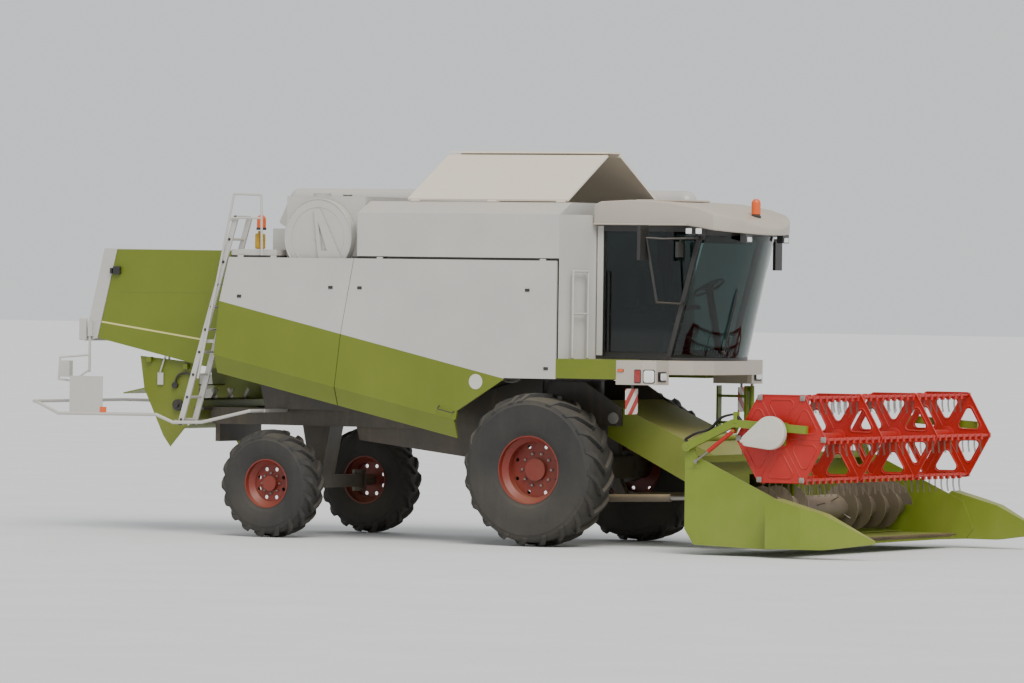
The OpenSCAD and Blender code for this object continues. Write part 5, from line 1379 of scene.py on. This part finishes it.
def make_hoses():
    """Motor hoses along the right reel arm, with their clip."""
    route = [(2.500, 1.280), (2.455, 1.330), (2.590, 1.406), (2.780, 1.446), (2.910, 1.600), (3.110, 1.640),
             (3.180, 1.560)]
    hoses = []
    for y in (-2.317, -2.283):
        hoses.append(tube("hose", [at(x, y, z) for x, z in route], 0.012, 0.09, 10))
    finish_piece(join("reel_hoses", hoses), "arms", PAINTS["hose"])
    clip = block("clip", at(3.090, -2.335, 1.53), at(3.140, -2.265, 1.662), 0.004)
    finish_piece(clip, "arms", PAINTS["arm"])


# Drives behind the side panels: x, z and radius of each pulley
PULLEYS = [(-3.65, 2.16, 0.19), (-2.96, 1.85, 0.15), (-2.22, 2.06, 0.27), (-1.33, 1.84, 0.13),
           (-0.64, 2.12, 0.21)]
# Pairs of pulleys that a belt joins
BELTED = [(0, 1), (2, 3), (3, 4)]
BODY_Y = 0.800


def pulley(x, z, radius):
    """A grooved pulley with its hub, on the right side of the body."""
    middle = at(x, -BODY_Y, z)
    rim = [(0.035, 0.004), (0.050, 0.004), (0.050, 0.020), (radius - 0.03, 0.024), (radius - 0.02, 0.012),
           (radius, 0.014), (radius - 0.022, 0.032), (radius, 0.050), (radius - 0.02, 0.054),
           (radius - 0.03, 0.040), (0.050, 0.044), (0.050, 0.066), (0.035, 0.066)]
    disc = spun("pulley", [(reach, -along) for reach, along in rim], middle, 48)
    hub = rod("hub", middle + Vector((0, 0.004, 0)), middle + Vector((0, -0.074, 0)), 0.036, 24, 0.003)
    return join("pulley", [disc, hub])


def belt(first, second):
    """A belt round two pulleys, as a closed tube along their outlines."""
    start, end = Vector(first[:2]), Vector(second[:2])
    apart = end - start
    lean = math.atan2(apart.y, apart.x)
    touch = math.acos((first[2] - second[2]) / apart.length)
    route = []
    for middle, radius, low, high in ((start, first[2] - 0.008, touch, 2 * math.pi - touch),
                                      (end, second[2] - 0.008, -touch, touch)):
        for step in range(13):
            angle = lean + low + (high - low) * step / 12
            x, z = middle + radius * Vector((math.cos(angle), math.sin(angle)))
            route.append(at(x, -BODY_Y - 0.032, z))
    return tube("belt", route, 0.009, 0.02, 8, True)


def make_side_drives():
    """Pulleys and belts on both sides of the threshing body."""
    pulleys = join("side_pulleys_right", [pulley(*row) for row in PULLEYS])
    belts = join("side_belts_right", [belt(PULLEYS[first], PULLEYS[second]) for first, second in BELTED])
    for piece, finish in ((pulleys, "cast"), (belts, "hose")):
        twin = mirrored(piece, piece.name.replace("right", "left"))
        finish_piece(piece, "machine", PAINTS[finish])
        finish_piece(twin, "machine", PAINTS[finish])


def make_rear_fittings():
    """Brackets on the rear frame and the chopper, and the chopper's hub and lever."""
    pale = [block("bracket", at(-6.625, -0.960, 2.33), at(-6.525, -0.912, 2.60), 0.012),
            block("chopper_bracket", at(-5.56, -0.846, 1.80), at(-5.48, -0.824, 1.95), 0.006),
            tube("link", [at(-5.52, -0.850, 1.95), at(-5.46, -0.850, 2.12)], 0.010)]
    finish_piece(join("rear_brackets", pale), "machine", PAINTS["white"])
    bends = ((-5.31, 1.80), (-5.27, 1.93), (-5.12, 1.96), (-5.05, 1.90))
    dark = [rod("hub", at(-5.26, -0.818, 1.56), at(-5.26, -0.870, 1.56), 0.070, 32, 0.006),
            rod("boss", at(-5.26, -0.86, 1.56), at(-5.26, -0.90, 1.56), 0.032, 24, 0.004),
            rod("lever_boss", at(-5.31, -0.818, 1.80), at(-5.31, -0.856, 1.80), 0.040, 24, 0.004),
            tube("lever", [at(x, -0.850, z) for x, z in bends], 0.014),
            block("post_box", at(-6.20, -0.95, 3.15), at(-6.17, -0.909, 3.22), 0.006)]
    finish_piece(join("chopper_fittings", dark), "machine", PAINTS["cab_black"])


def make_cab_trim():
    """Pale posts between the corner panels and the cab's side windows."""
    for name, side in SIDES:
        low, high = sorted((side * 0.8505, side * 0.8560))
        post = block(f"cab_post_{name}", at(0.512, low, 2.262), at(0.592, high, 3.792), 0.002)
        finish_piece(post, "machine", PAINTS["white"])


make_camera()
make_light()
make_floor()
dress_nodes()
for side_name in OUTWARDS:
    for end in ("front", "rear"):
        make_tyre(end, side_name)
    make_wheel_nuts("front", side_name, FRONT_DISC, 0.195, 10, 0.017)
    make_wheel_nuts("rear", side_name, REAR_DISC, 0.122, 8, 0.013)
make_reel()
make_drive_cover()
make_roof()
make_front_lamps()
make_beacon("roof_beacon", at(2.170, 0, 3.905), 0.055, 0.175)
make_beacon("deck_beacon", at(-3.900, -1.200, 3.700), 0.055, 0.160)
make_mirror_glass()
make_seat()
make_cab_fittings()
make_steering_details()
make_wiper()
make_warning_boards()
make_panel_fittings()
make_ladder_fittings()
make_screen_fittings()
make_deck_fittings()
make_rear_lights()
make_header_details()
make_auger()
make_feeder_details()
make_hoses()
make_side_drives()
make_rear_fittings()
make_cab_trim()
